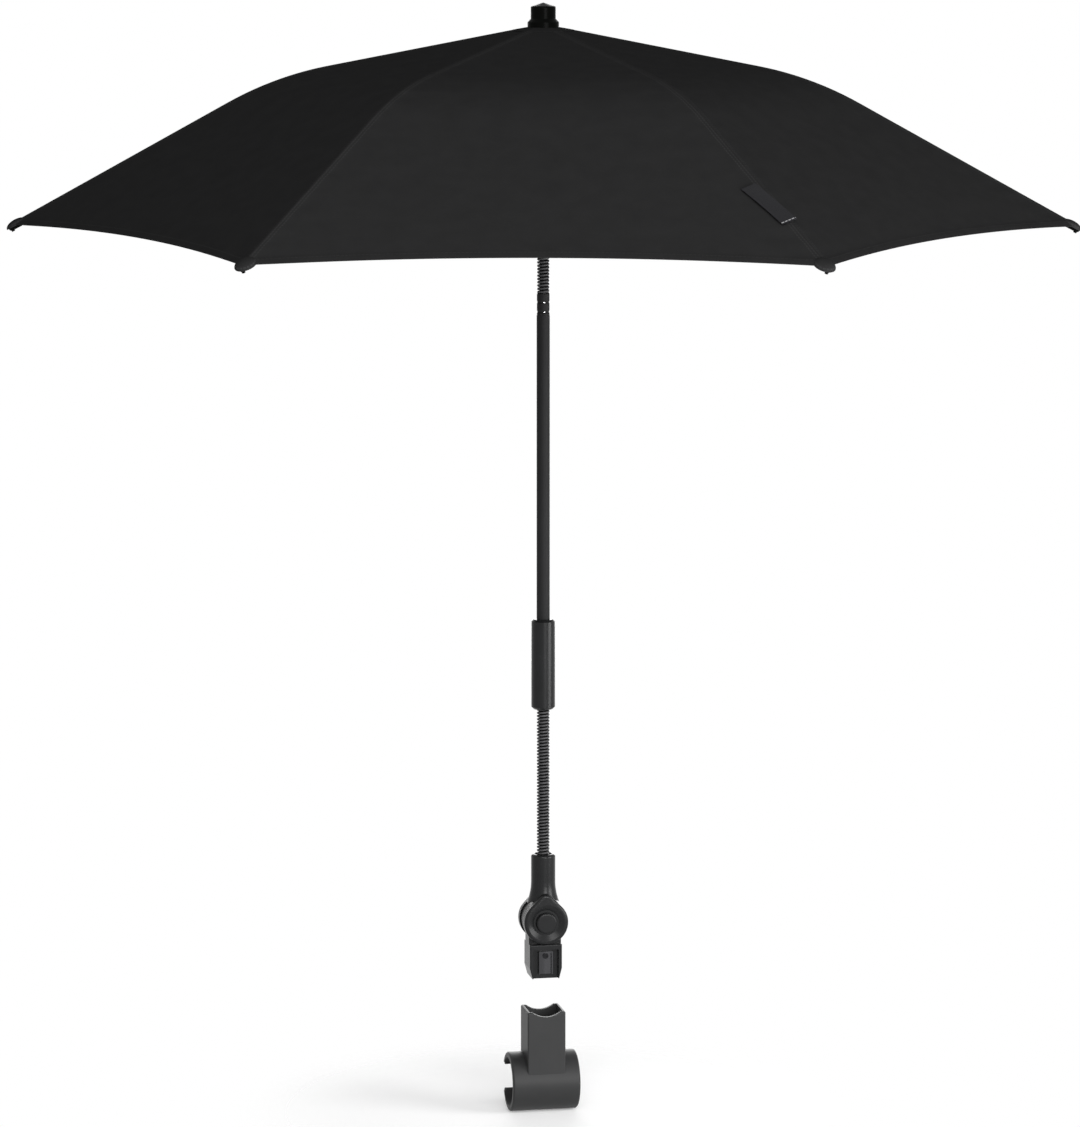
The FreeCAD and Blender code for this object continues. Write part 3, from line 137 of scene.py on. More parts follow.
def smooth_step(low: float, high: float, value: float) -> float:
    """Return a smooth ramp from 0 at low to 1 at high."""
    share = min(1.0, max(0.0, (value - low) / (high - low)))
    return share * share * (3.0 - 2.0 * share)


def direction(azimuth: float, elevation: float) -> Vector:
    """Return the direction from the mast to a viewer or a lamp.

    Args:
        azimuth: Degrees from the front, positive to the viewer's right.
        elevation: Degrees above level.

    Returns:
        The direction, one long.
    """
    turn = math.radians(azimuth)
    rise = math.radians(elevation)
    return Vector((math.sin(turn) * math.cos(rise), -math.cos(turn) * math.cos(rise), math.sin(rise)))


class Bench:
    """Modelling by operators, one object at a time."""

    @staticmethod
    def start(name: str, primitive: Callable[..., set], **settings: object) -> Piece:
        """Add a primitive with nothing else selected.

        Args:
            name: The new piece's name.
            primitive: The operator that adds it.
            **settings: The operator's settings.

        Returns:
            The new piece.
        """
        bpy.ops.object.select_all(action="DESELECT")
        primitive(**settings)
        piece = bpy.context.active_object
        piece.name = name
        piece.data.name = name
        return piece

    @staticmethod
    def pick(piece: Piece) -> None:
        """Select one piece alone and make it active.

        Args:
            piece: The piece to select.
        """
        bpy.ops.object.select_all(action="DESELECT")
        piece.select_set(True)
        bpy.context.view_layer.objects.active = piece

    @staticmethod
    @contextmanager
    def edit(piece: Piece) -> Iterator[None]:
        """Hold a piece in edit mode, with its whole mesh selected at the start.

        Args:
            piece: The piece to edit.

        Returns:
            A context that ends in object mode.
        """
        Bench.pick(piece)
        bpy.ops.object.mode_set(mode="EDIT")
        bpy.ops.mesh.select_all(action="SELECT")
        yield
        bpy.ops.object.mode_set(mode="OBJECT")

    @staticmethod
    def settle(piece: Piece) -> None:
        """Put a piece's place into its mesh."""
        Bench.pick(piece)
        bpy.ops.object.transform_apply(location=True, rotation=True, scale=True)

    @staticmethod
    def apply(piece: Piece, kind: str, **settings: object) -> None:
        """Add a modifier, set it and apply it.

        Args:
            piece: The piece to change.
            kind: The modifier's type.
            **settings: The modifier's properties.
        """
        Bench.pick(piece)
        modifier = piece.modifiers.new(kind.lower(), kind)
        for key, value in settings.items():
            setattr(modifier, key, value)
        bpy.ops.object.modifier_apply(modifier=modifier.name)

    @staticmethod
    def smooth(piece: Piece, crease: float) -> None:
        """Shade smooth where faces meet at less than an angle in degrees."""
        Bench.pick(piece)
        bpy.ops.object.shade_smooth_by_angle(angle=math.radians(crease))

    @staticmethod
    def thicken(piece: Piece, thickness: float, crease: float) -> None:
        """Give a sheet its thickness on its inner side and shade it smooth up to an angle."""
        Bench.apply(piece, "SOLIDIFY", thickness=thickness, offset=-1.0)
        Bench.smooth(piece, crease)

    @staticmethod
    def outward(piece: Piece) -> None:
        """Merge doubles and turn all faces outwards.

        Args:
            piece: The piece to mend.
        """
        with Bench.edit(piece):
            bpy.ops.mesh.remove_doubles(threshold=MERGE_GAP)
            bpy.ops.mesh.normals_make_consistent(inside=False)

    @staticmethod
    def face_up(piece: Piece) -> None:
        """Turn a sheet over if it faces down."""
        if piece.data.polygons[0].normal.z < 0.0:
            piece.data.flip_normals()

    @staticmethod
    def area(piece: Piece) -> float:
        """Return the area of all of a piece's faces."""
        return sum(face.area for face in piece.data.polygons)

    @staticmethod
    def maps(piece: Piece, names: Sequence[str], places: Sequence[Sequence[Pair]]) -> None:
        """Replace a piece's UV maps by new ones.

        Args:
            piece: The piece to map.
            names: The maps' names.
            places: For each vertex, its place on each map.
        """
        layers = piece.data.uv_layers
        while layers:
            layers.remove(layers[0])
        for name in names:
            layers.new(name=name)
        for order, name in enumerate(names):
            spots = layers[name].data
            for loop in piece.data.loops:
                spots[loop.index].uv = places[loop.vertex_index][order]

    @staticmethod
    def wind(name: str, radius: float, wire: float, corners: int, pitch: float, turns: int,
             steps: int) -> Piece:
        """Wind a round wire upwards about the Z axis and close its ends.

        Args:
            name: The new piece's name.
            radius: The radius of the wire's middle line.
            wire: The wire's thickness.
            corners: The corners of its section.
            pitch: The rise of one turn.
            turns: Its whole turns.
            steps: The steps of one turn.

        Returns:
            The wound piece.
        """
        piece = Bench.start(name, bpy.ops.mesh.primitive_circle_add, vertices=corners, radius=wire / 2.0,
                            fill_type="NOTHING", location=(radius, 0.0, 0.0),
                            rotation=(math.pi / 2.0, 0.0, 0.0))
        Bench.settle(piece)
        Bench.apply(piece, "SCREW", axis="Z", angle=2.0 * math.pi, iterations=turns, screw_offset=pitch,
                    steps=steps, render_steps=steps)
        with Bench.edit(piece):
            bpy.ops.mesh.fill_holes(sides=corners)
        return piece


class NodeDesk:
    """A node tree with short ways to add, feed and link nodes."""

    def __init__(self, tree: bpy.types.NodeTree) -> None:
        """Work on a node tree."""
        self.tree = tree

    def add(self, kind: str, **settings: object) -> Node:
        """Add a node and set its properties.

        Args:
            kind: The node's type.
            **settings: The node's properties.

        Returns:
            The new node.
        """
        node = self.tree.nodes.new(kind)
        for key, value in settings.items():
            setattr(node, key, value)
        return node

    def put(self, socket: Socket, value: Feed) -> None:
        """Link an input to another node's output, or set its value.

        Args:
            socket: The input.
            value: The output, or a number or a colour.
        """
        if isinstance(value, Socket):
            self.tree.links.new(value, socket)
        else:
            socket.default_value = value

    def feed(self, node: Node, **values: Feed) -> Node:
        """Feed a node's inputs by name.

        Args:
            node: The node to feed.
            **values: Inputs by name, with spaces written as underscores.

        Returns:
            The same node.
        """
        for key, value in values.items():
            self.put(node.inputs[key.replace("_", " ")], value)
        return node

    def fill(self, node: Node, *values: Feed) -> Socket:
        """Feed a node's first inputs in order.

        Args:
            node: The node to feed.
            *values: What the inputs get.

        Returns:
            The node's first output.
        """
        for socket, value in zip(node.inputs, values):
            self.put(socket, value)
        return node.outputs[0]

    def sum(self, operation: str, *terms: Feed) -> Socket:
        """Return the result of a Math node on its terms."""
        return self.fill(self.add("ShaderNodeMath", operation=operation), *terms)

    def spread(self, value: Socket, low: float, high: float) -> Socket:
        """Map a value from 0 and 1 to low and high."""
        node = self.add("ShaderNodeMapRange")
        return self.feed(node, Value=value, To_Min=low, To_Max=high).outputs["Result"]

    def ramp(self, value: Socket, low: float, high: float) -> Socket:
        """Return a smooth ramp from 0 at low to 1 at high."""
        node = self.add("ShaderNodeMapRange", interpolation_type="SMOOTHSTEP")
        return self.feed(node, Value=value, From_Min=low, From_Max=high).outputs["Result"]

    def mix(self, share: Socket, one: Feed, two: Feed) -> Socket:
        """Mix two colours.

        Args:
            share: The share of the second colour.
            one: The first colour.
            two: The second colour.

        Returns:
            The mixed colour.
        """
        node = self.add("ShaderNodeMix", data_type="RGBA")
        for index, value in zip(COLOUR_MIX_INPUTS, (share, one, two)):
            self.put(node.inputs[index], value)
        return node.outputs[COLOUR_MIX_RESULT]

    def noise(self, place: Socket, scale: Feed, detail: float, roughness: float = 0.5) -> Socket:
        """Return a noise of that scale, detail and roughness."""
        node = self.add("ShaderNodeTexNoise")
        return self.feed(node, Vector=place, Scale=scale, Detail=detail, Roughness=roughness).outputs["Fac"]

    def bump(self, height: Socket, strength: float, depth: float) -> Socket:
        """Return the normal that a height gives."""
        node = self.add("ShaderNodeBump")
        return self.feed(node, Height=height, Strength=strength, Distance=depth).outputs["Normal"]

    def group(self, tree: bpy.types.NodeTree, **values: Feed) -> Outputs:
        """Place an effect group, feed it and return its outputs."""
        return self.feed(self.add("ShaderNodeGroup", node_tree=tree), **values).outputs

    def split(self, vector: Socket) -> Outputs:
        """Return the three parts of a vector."""
        return self.feed(self.add("ShaderNodeSeparateXYZ"), Vector=vector).outputs

    def uv(self, name: str) -> Socket:
        """Return the place on one of the piece's own maps."""
        return self.add("ShaderNodeUVMap", uv_map=name).outputs["UV"]

    def place(self) -> Socket:
        """Return the place in the frame."""
        return self.add("ShaderNodeTexCoord").outputs["Object"]


class EffectGroups:
    """Shader node groups that several finishes share."""

    def __init__(self) -> None:
        """Build every group once."""
        self.grain = self._grain()
        self.weave = self._weave()
        self.stitches = self._stitches()
        self.drawn = self._drawn()

    @staticmethod
    def _new(name: str, numbers: dict[str, float],
             results: Sequence[str]) -> tuple[bpy.types.NodeTree, NodeDesk, Outputs, Node]:
        """Make an empty group that reads a place.

        Args:
            name: The group's name.
            numbers: The values of its other inputs, by name.
            results: Names of its float outputs.

        Returns:
            The group, its desk, what it is given and its output node.
        """
        group = bpy.data.node_groups.new(name, "ShaderNodeTree")
        group.interface.new_socket("Vector", in_out="INPUT", socket_type="NodeSocketVector")
        for key, value in numbers.items():
            socket = group.interface.new_socket(key, in_out="INPUT", socket_type="NodeSocketFloat")
            socket.default_value = value
        for key in results:
            group.interface.new_socket(key, in_out="OUTPUT", socket_type="NodeSocketFloat")
        desk = NodeDesk(group)
        return group, desk, desk.add("NodeGroupInput").outputs, desk.add("NodeGroupOutput")

    def _grain(self) -> bpy.types.NodeTree:
        """Make the fine spark-eroded grain of moulded and painted surfaces, with soft blotches.

        Returns:
            The group.
        """
        group, desk, given, made = self._new(
            "surface_grain", {"Scale": 1500.0, "Blotch Scale": 40.0}, ("Height", "Blotch"))
        fine = desk.noise(given["Vector"], given["Scale"], detail=3.0, roughness=0.6)
        soft = desk.noise(given["Vector"], given["Blotch Scale"], detail=4.0, roughness=0.65)
        desk.feed(made, Height=fine, Blotch=soft)
        return group

    def _weave(self) -> bpy.types.NodeTree:
        """Make a plain weave: threads over and under on a UV map in metres.

        Returns:
            The group.
        """
        group, desk, given, made = self._new("plain_weave", {"Threads": 1800.0}, ("Height", "Slub"))
        split = desk.split(given["Vector"])
        waves = []
        for axis in ("X", "Y"):
            turns = desk.sum("MULTIPLY", split[axis], given["Threads"])
            angle = desk.sum("MULTIPLY", turns, math.pi)
            waves.append((desk.sum("ABSOLUTE", desk.sum("SINE", angle)), desk.sum("FLOOR", turns)))
        parity = desk.sum("ABSOLUTE", desk.sum("MODULO", desk.sum("ADD", waves[0][1], waves[1][1]), 2.0))
        warp = desk.sum("MULTIPLY", waves[0][0], parity)
        weft = desk.sum("MULTIPLY", waves[1][0], desk.sum("SUBTRACT", 1.0, parity))
        slub = desk.noise(given["Vector"], scale=60.0, detail=4.0)
        desk.feed(made, Height=desk.sum("ADD", warp, weft), Slub=slub)
        return group

    def _stitches(self) -> bpy.types.NodeTree:
        """Make a row of stitches on a map whose X runs along the row and Y away from the edge.

        Returns:
            The group.
        """
        group, desk, given, made = self._new(
            "stitch_row", {"Offset": 2.0 * MM, "Pitch": 2.6 * MM, "Thread": 0.4 * MM}, ("Mask",))
        split = desk.split(given["Vector"])
        away = desk.sum("ABSOLUTE", desk.sum("SUBTRACT", split["Y"], given["Offset"]))
        on_row = desk.sum("LESS_THAN", away, given["Thread"])
        along = desk.sum("FRACT", desk.sum("DIVIDE", split["X"], given["Pitch"]))
        on_thread = desk.sum("LESS_THAN", along, STITCH_SHARE)
        desk.feed(made, Mask=desk.sum("MULTIPLY", on_row, on_thread))
        return group

    def _drawn(self) -> bpy.types.NodeTree:
        """Make the fine lines that rolling or drawing leaves along one direction.

        Returns:
            The group.
        """
        group, desk, given, made = self._new("drawn_lines", {"Scale": 900.0}, ("Height", "Streak"))
        squeeze = desk.feed(desk.add("ShaderNodeMapping"), Vector=given["Vector"], Scale=DRAWN_SQUEEZE)
        place = squeeze.outputs["Vector"]
        lines = desk.noise(place, given["Scale"], detail=5.0, roughness=0.7)
        streak = desk.noise(place, scale=120.0, detail=3.0)
        desk.feed(made, Height=lines, Streak=streak)
        return group


def new_material(name: str) -> tuple[bpy.types.Material, NodeDesk, Node]:
    """Make an empty material.

    Args:
        name: The material's name.

    Returns:
        The material, the desk of its tree and its Principled BSDF.
    """
    material = bpy.data.materials.new(name)
    material.use_nodes = True
    return material, NodeDesk(material.node_tree), material.node_tree.nodes["Principled BSDF"]


@dataclass(frozen=True)
class Finish:
    """What every finish has: a darker and a lighter tone, and a range of roughness."""

    name: str
    dark: Colour
    light: Colour
    roughness: Pair

    def tone(self, desk: NodeDesk, share: Socket) -> Socket:
        """Return the colour at a share of the lighter tone."""
        return desk.mix(share, (*self.dark, 1.0), (*self.light, 1.0))


@dataclass(frozen=True)
class GrainFinish(Finish):
    """A moulded or painted finish with fine grain."""

    grain_scale: float
    bump: float
    gloss: float
    bump_depth: float = 0.2 * MM

    def build(self, groups: EffectGroups) -> bpy.types.Material:
        """Make the finish.

        Args:
            groups: The shared effects.

        Returns:
            The new material.
        """
        material, desk, shader = new_material(self.name)
        grain = desk.group(groups.grain, Vector=desk.place(), Scale=self.grain_scale)
        desk.feed(shader, Base_Color=self.tone(desk, grain["Blotch"]),
                  Roughness=desk.spread(grain["Blotch"], *self.roughness),
                  Normal=desk.bump(grain["Height"], self.bump, self.bump_depth),
                  Specular_IOR_Level=self.gloss)
        return material


@dataclass(frozen=True)
class WoundFinish(Finish):
    """A black wire finish with a painted highlight: the crest of each turn is mixed towards its lighter tone."""

    highlight_start: float
    gloss: float
    highlight_spread: Pair = (0.55, 1.25)
    grain_scale: float = 2400.0
    blotch_scale: float = 220.0
    bump: float = 0.03
    bump_depth: float = 0.2 * MM

    def build(self, groups: EffectGroups) -> bpy.types.Material:
        """Make the finish.

        Args:
            groups: The shared effects.

        Returns:
            The new material.
        """
        material, desk, shader = new_material(self.name)
        grain = desk.group(groups.grain, Vector=desk.place(), Scale=self.grain_scale,
                           Blotch_Scale=self.blotch_scale)
        # painted highlight: towards the crest of each turn the colour goes to the lighter tone, varied by the
        # blotches
        crest = desk.ramp(desk.split(desk.uv("wound"))["Y"], self.highlight_start, 1.0)
        painted_highlight = desk.sum("MULTIPLY", crest, desk.spread(grain["Blotch"], *self.highlight_spread))
        desk.feed(shader, Base_Color=self.tone(desk, painted_highlight),
                  Roughness=desk.spread(grain["Blotch"], *self.roughness),
                  Normal=desk.bump(grain["Height"], self.bump, self.bump_depth),
                  Specular_IOR_Level=self.gloss)
        return material


@dataclass(frozen=True)
class WovenFinish(Finish):
    """A woven finish that reads the piece's own maps."""

    thread_colour: Colour
    threads: float
    bump: float
    gloss: float
    stitch_rows: tuple[tuple[str, float], ...]
    weave_share: float = 0.35
    bump_depth: float = 0.3 * MM

    def build(self, groups: EffectGroups) -> bpy.types.Material:
        """Make the finish.

        Args:
            groups: The shared effects.

        Returns:
            The new material.
        """
        material, desk, shader = new_material(self.name)
        weave = desk.group(groups.weave, Vector=desk.uv("cloth"), Threads=self.threads)
        tone = self.tone(desk, weave["Slub"])
        height = desk.sum("MULTIPLY", weave["Height"], self.weave_share)
        for uv_map, offset in self.stitch_rows:
            stitch = desk.group(groups.stitches, Vector=desk.uv(uv_map), Offset=offset)["Mask"]
            height = desk.sum("ADD", height, stitch)
            tone = desk.mix(stitch, tone, (*self.thread_colour, 1.0))
        desk.feed(shader, Base_Color=tone, Roughness=desk.spread(weave["Slub"], *self.roughness),
                  Normal=desk.bump(height, self.bump, self.bump_depth), Specular_IOR_Level=self.gloss)
        return material


@dataclass(frozen=True)
class SteelFinish(Finish):
    """A bright steel finish with lines from drawing or rolling."""

    bump: float
    bump_depth: float = 0.1 * MM

    def build(self, groups: EffectGroups) -> bpy.types.Material:
        """Make the finish.

        Args:
            groups: The shared effects.

        Returns:
            The new material.
        """
        material, desk, shader = new_material(self.name)
        drawn = desk.group(groups.drawn, Vector=desk.place())
        desk.feed(shader, Base_Color=self.tone(desk, drawn["Streak"]), Metallic=1.0,
                  Roughness=desk.spread(drawn["Streak"], *self.roughness),
                  Normal=desk.bump(drawn["Height"], self.bump, self.bump_depth))
        return material


FINISHES = {
    Slot.CLOTH: WovenFinish(
        "black_parasol_cloth", dark=(0.0205, 0.0205, 0.0208), light=(0.0265, 0.0265, 0.0268),
        roughness=(0.78, 0.9), thread_colour=(0.033, 0.033, 0.0334), threads=1900.0, bump=0.35, gloss=0.0,
        stitch_rows=(("seam", 1.3 * MM), ("seam", 3.4 * MM), ("hem", 6.2 * MM))),
    Slot.LABEL: WovenFinish(
        "black_satin_tape", dark=(0.013, 0.013, 0.0146), light=(0.018, 0.018, 0.02),
        roughness=(0.42, 0.55), thread_colour=(0.35, 0.35, 0.36), threads=3200.0, bump=0.25, gloss=0.06,
        stitch_rows=(("hem", 1.2 * MM),)),
    Slot.PLASTIC: GrainFinish(
        "satin_moulded_plastic", dark=(0.0075, 0.0077, 0.008), light=(0.0125, 0.0128, 0.0133),
        roughness=(0.2, 0.32), grain_scale=2600.0, bump=0.08, gloss=0.14),
    Slot.GLOSS: GrainFinish(
        "gloss_moulded_plastic", dark=(0.0015, 0.0016, 0.0014), light=(0.003, 0.0032, 0.0028),
        roughness=(0.22, 0.32), grain_scale=1800.0, bump=0.03, gloss=0.015),
    Slot.TUBE: GrainFinish(
        "satin_black_paint", dark=(0.014, 0.014, 0.0144), light=(0.0195, 0.0195, 0.02),
        roughness=(0.4, 0.52), grain_scale=3000.0, bump=0.08, gloss=0.04),
    # painted highlight: the wire's crests take the lighter tone
    Slot.WINDING: WoundFinish(
        "burnished_black_wire", dark=(0.0035, 0.0035, 0.0038), light=(0.066, 0.066, 0.068),
        roughness=(0.16, 0.28), highlight_start=0.78, gloss=0.08),
    Slot.RIB: GrainFinish(
        "black_rib_paint", dark=(0.014, 0.014, 0.015), light=(0.021, 0.021, 0.022),
        roughness=(0.3, 0.42), grain_scale=2400.0, bump=0.06, gloss=0.12),
    Slot.STEEL: SteelFinish(
        "bright_steel", dark=(0.3, 0.3, 0.31), light=(0.46, 0.46, 0.47), roughness=(0.2, 0.32), bump=0.08),
}
NODE_FINISHES = {
    "clip_body": GrainFinish(
        "matt_moulded_plastic", dark=(0.021, 0.0212, 0.0215), light=(0.03, 0.0302, 0.0306),
        roughness=(0.42, 0.5), grain_scale=2200.0, bump=0.14, gloss=0.15),
    "latch_leaf": SteelFinish(
        "dark_spring_steel", dark=(0.035, 0.035, 0.037), light=(0.075, 0.075, 0.079),
        roughness=(0.18, 0.3), bump=0.08),
    # painted shade: the screw is made near black so that it reads as a shaded hole
    "latch_screw": SteelFinish(
        "black_screw_steel", dark=(0.012, 0.012, 0.013), light=(0.02, 0.02, 0.021),
        roughness=(0.25, 0.35), bump=0.05),
}


class Wardrobe:
    """Every finish as a material, by slot, and by node where a node has its own."""

    def __init__(self) -> None:
        """Build the shared effects and each finish."""
        groups = EffectGroups()
        self.materials = {slot: finish.build(groups) for slot, finish in FINISHES.items()}
        self.by_node = {node: finish.build(groups) for node, finish in NODE_FINISHES.items()}

    def dress(self, piece: Piece, slot: Slot) -> None:
        """Give a new piece the finish of its slot.

        Args:
            piece: The piece to dress.
            slot: The record's slot.
        """
        piece.data.materials.clear()
        piece.data.materials.append(self.materials[slot])

    def dress_nodes(self) -> None:
        """Give each CAD node its own finish or that of its slot."""
        for row in frame["record"]["subparts"]:
            node = frame["nodes"][row["node"]]
            plain = self.materials[Slot(row["material_slot"])]
            node.data.materials.clear()
            node.data.materials.append(self.by_node.get(row["node"], plain))


@dataclass
class RibPlane:
    """One rib's plane: its direction and the joints of its linkage, as distance from the mast and height."""

    number: int
    radial: Vector = field(init=False)
    tangent: Vector = field(init=False)
    pivot: Pair = field(init=False)
    elbow: Pair = field(init=False)
    fold: float = field(init=False)
    flex: float = field(init=False)

    def __post_init__(self) -> None:
        """Read the rib's joints from the frame."""
        fold = joint(f"rib_{self.number}_fold")
        flex = joint(f"rib_{self.number}_flex")
        self.tangent = Vector(fold["axis"]).normalized()
        self.radial = self.tangent.cross(UP)
        self.pivot = self._flat(fold["pos_m"])
        self.elbow = self._flat(flex["pos_m"])
        self.fold = math.radians(fold["range_deg"][1])
        self.flex = math.radians(flex["range_deg"][1])

    def _flat(self, place: Sequence[float]) -> Pair:
        """Return a place of the frame as distance from the mast and height."""
        return (Vector(place) - MAST).dot(self.radial), place[2]

    @staticmethod
    def _turned(place: Pair, about: Pair, angle: float) -> Pair:
        """Turn a place downwards about another.

        Args:
            place: The place to turn.
            about: The place that it turns about.
            angle: The turn in radians.

        Returns:
            The turned place.
        """
        out = place[0] - about[0]
        high = place[1] - about[1]
        return (about[0] + out * math.cos(angle) + high * math.sin(angle),
                about[1] - out * math.sin(angle) + high * math.cos(angle))

    def folded(self, place: Pair, stretch: Stretch) -> Pair:
        """Return where a place on the rib goes when the parasol is folded.

        Args:
            place: Distance from the mast and height at rest.
            stretch: The stretch of the rib that carries it.

        Returns:
            Distance from the mast and height when folded.
        """
        if stretch is Stretch.OUTER:
            place = self._turned(place, self.elbow, -self.flex)
        return self._turned(place, self.pivot, self.fold)


@dataclass
class CanopyCloth:
    """The cloth: six gores sewn along the ribs, cut in half gores that can fold with the frame."""

    wardrobe: Wardrobe
    collar_radius: float = 10.8 * MM
    crown_radius: float = 183.0 * MM
    crown_drop: float = 33.5 * MM
    tip_radius: float = 366.5 * MM
    tip_drop: float = 135.2 * MM
    bend_radius: float = 233.0 * MM
    start_radius: float = 9.0 * MM
    scallop: float = 10.0 * MM
    hem_rounds: int = 12
    gore_sag: float = 2.2 * MM
    sag_power: float = 1.5
    thickness: float = 0.45 * MM
    crease: float = 25.0
    seam_width: float = 4.4 * MM
    seam_flat: float = 0.75
    seam_height: float = 0.25 * MM
    hem_width: float = 8.0 * MM
    hem_flat: float = 0.85
    hem_height: float = 0.35 * MM
    pucker: float = 0.3 * MM
    pucker_pitch: float = 17.0 * MM
    pucker_reach: float = 14.0 * MM
    pucker_start: float = 75.0 * MM
    pleat_share: float = 0.3
    pleat_angle: float = math.radians(28.5)
    columns: int = 22
    rows: dict[Stretch, int] = field(default_factory=lambda: {Stretch.INNER: 34, Stretch.OUTER: 46})
    row_power: float = 1.6
    cap_radius: float = 21.0 * MM
    cap_corners: int = 72
    cap_shares: tuple[float, ...] = (0.86, 0.8, 0.72, 0.72, 0.7)
    cap_lift: float = 0.15 * MM
    cap_crease: float = 40.0

    def __post_init__(self) -> None:
        """Work out the slopes, the hem and the apex from the sizes and the frame."""
        self.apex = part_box("canopy")[1].z
        self.inner_fall = math.atan2(self.crown_drop, self.crown_radius - self.collar_radius)
        self.outer_fall = math.atan2(self.tip_drop - self.crown_drop, self.tip_radius - self.crown_radius)
        turn = self.outer_fall - self.inner_fall
        tangent = self.bend_radius * math.tan(turn / 2.0)
        self.bend_start = self.crown_radius - tangent * math.cos(self.inner_fall)
        self.bend_end = self.crown_radius + tangent * math.cos(self.outer_fall)
        chord = 2.0 * self.tip_radius * math.sin(GORE_HALF)
        self.hem_radius = chord ** 2 / (8.0 * self.scallop) + self.scallop / 2.0
        self.hem_middle = self.tip_radius * math.cos(GORE_HALF) - self.scallop + self.hem_radius

    def height(self, radius: float) -> float:
        """Return the cloth's height on a rib.

        Args:
            radius: The distance from the mast.

        Returns:
            The height in the frame.
        """
        if radius <= self.collar_radius:
            return self.apex
        if radius <= self.bend_start:
            return self.apex - (radius - self.collar_radius) * math.tan(self.inner_fall)
        if radius >= self.bend_end:
            return self.apex - self.crown_drop - (radius - self.crown_radius) * math.tan(self.outer_fall)
        middle = self.bend_start - self.bend_radius * math.sin(self.inner_fall)
        start = self.apex - (self.bend_start - self.collar_radius) * math.tan(self.inner_fall)
        centre = start - self.bend_radius * math.cos(self.inner_fall)
        return centre + math.sqrt(self.bend_radius ** 2 - (radius - middle) ** 2)

    def hem(self, across: float) -> float:
        """Return the hem's distance from the mast, along a line at a share across the half gore.

        Args:
            across: 0 in the middle of the gore and 1 at its rib.

        Returns:
            The distance at which the hem cuts that line.
        """
        radius = self.tip_radius
        for _ in range(self.hem_rounds):
            side = across * radius * math.sin(GORE_HALF)
            radius = (self.hem_middle - math.sqrt(self.hem_radius ** 2 - side ** 2)) / math.cos(GORE_HALF)
        return radius

    def from_hem(self, radius: float, across: float) -> float:
        """Return how far a point of the cloth lies from the hem, along the slope."""
        return (self.hem(across) - radius) / math.cos(self.outer_fall)

    def place(self, rib: RibPlane, side: Side, radius: float, across: float) -> Vector:
        """Return a point of the cloth.

        Args:
            rib: The rib that the half gore is sewn on.
            side: The side of that rib.
            radius: The distance from the mast at which the cloth has this height on the rib.
            across: 0 in the middle of the gore and 1 on the rib.

        Returns:
            The point in the frame.
        """
        away = side.value * GORE_HALF
        middle = rib.radial * math.cos(away) + rib.tangent * math.sin(away)
        sideways = rib.tangent * math.cos(away) - rib.radial * math.sin(away)
        half = radius * math.sin(GORE_HALF)
        from_seam = half * (1.0 - across)
        from_hem = self.from_hem(radius, across)
        seam_edge = smooth_step(self.seam_flat * self.seam_width, self.seam_width, from_seam)
        hem_edge = smooth_step(self.hem_flat * self.hem_width, self.hem_width, from_hem)
        rise = self.seam_height * (1.0 - seam_edge) + self.hem_height * (1.0 - hem_edge)
        fade = math.exp(-from_seam / self.pucker_reach) * smooth_step(0.0, self.seam_width, from_seam)
        fade *= smooth_step(self.pucker_start, 2.0 * self.pucker_start, radius)
        rise += self.pucker * fade * math.sin(2.0 * math.pi * radius / self.pucker_pitch + rib.number)
        rise -= self.gore_sag * (1.0 - across ** 2) * (radius / self.tip_radius) ** self.sag_power
        flat = middle * (radius * math.cos(GORE_HALF)) - sideways * (side.value * across * half)
        return MAST + flat + UP * (self.height(radius) + rise)

    def mapped(self, side: Side, radius: float, across: float) -> tuple[Pair, Pair, Pair]:
        """Return a point's places on the cloth, seam and hem maps.

        Args:
            side: The side of the rib.
            radius: The point's distance from the mast.
            across: 0 in the middle of the gore and 1 on the rib.

        Returns:
            The three places, in metres.
        """
        half = radius * math.sin(GORE_HALF)
        slant = radius / math.cos(self.outer_fall)
        return ((side.value * across * half, slant), (slant, half * (1.0 - across)),
                (across * half, self.from_hem(radius, across)))

    def span(self, rib: RibPlane, stretch: Stretch) -> tuple[float, float, float]:
        """Return where a stretch of cloth lies on its rib.

        Args:
            rib: The rib that it is sewn on.
            stretch: The inner or the outer stretch.

        Returns:
            The distances from the mast at which it starts and ends, and its fall in radians.
        """
        if stretch is Stretch.INNER:
            return self.start_radius, rib.elbow[0], self.inner_fall
        return rib.elbow[0], self.tip_radius, self.outer_fall

    def half_gore(self, rib: RibPlane, side: Side, stretch: Stretch) -> Piece:
        """Make one stretch of a half gore.

        Args:
            rib: The rib that it is sewn on.
            side: The side of that rib.
            stretch: The inner or the outer stretch.

        Returns:
            The finished piece of cloth.
        """
        piece = Bench.start(f"cloth_{rib.number}_{side.name.lower()}_{stretch.value}",
                            bpy.ops.mesh.primitive_grid_add, x_subdivisions=self.columns,
                            y_subdivisions=self.rows[stretch], size=2.0)
        start, end, _ = self.span(rib, stretch)
        places = []
        for vertex in piece.data.vertices:
            across = 1.0 - ((vertex.co.x + 1.0) / 2.0) ** 2
            share = (vertex.co.y + 1.0) / 2.0
            if stretch is Stretch.OUTER:
                share = 1.0 - (1.0 - share) ** self.row_power
                end = self.hem(across)
            radius = start + (end - start) * share
            places.append(self.mapped(side, radius, across))
            vertex.co = self.place(rib, side, radius, across)
        Bench.maps(piece, CLOTH_MAPS, places)
        Bench.face_up(piece)
        Bench.thicken(piece, self.thickness, self.crease)
        self.wardrobe.dress(piece, Slot.CLOTH)
        return piece

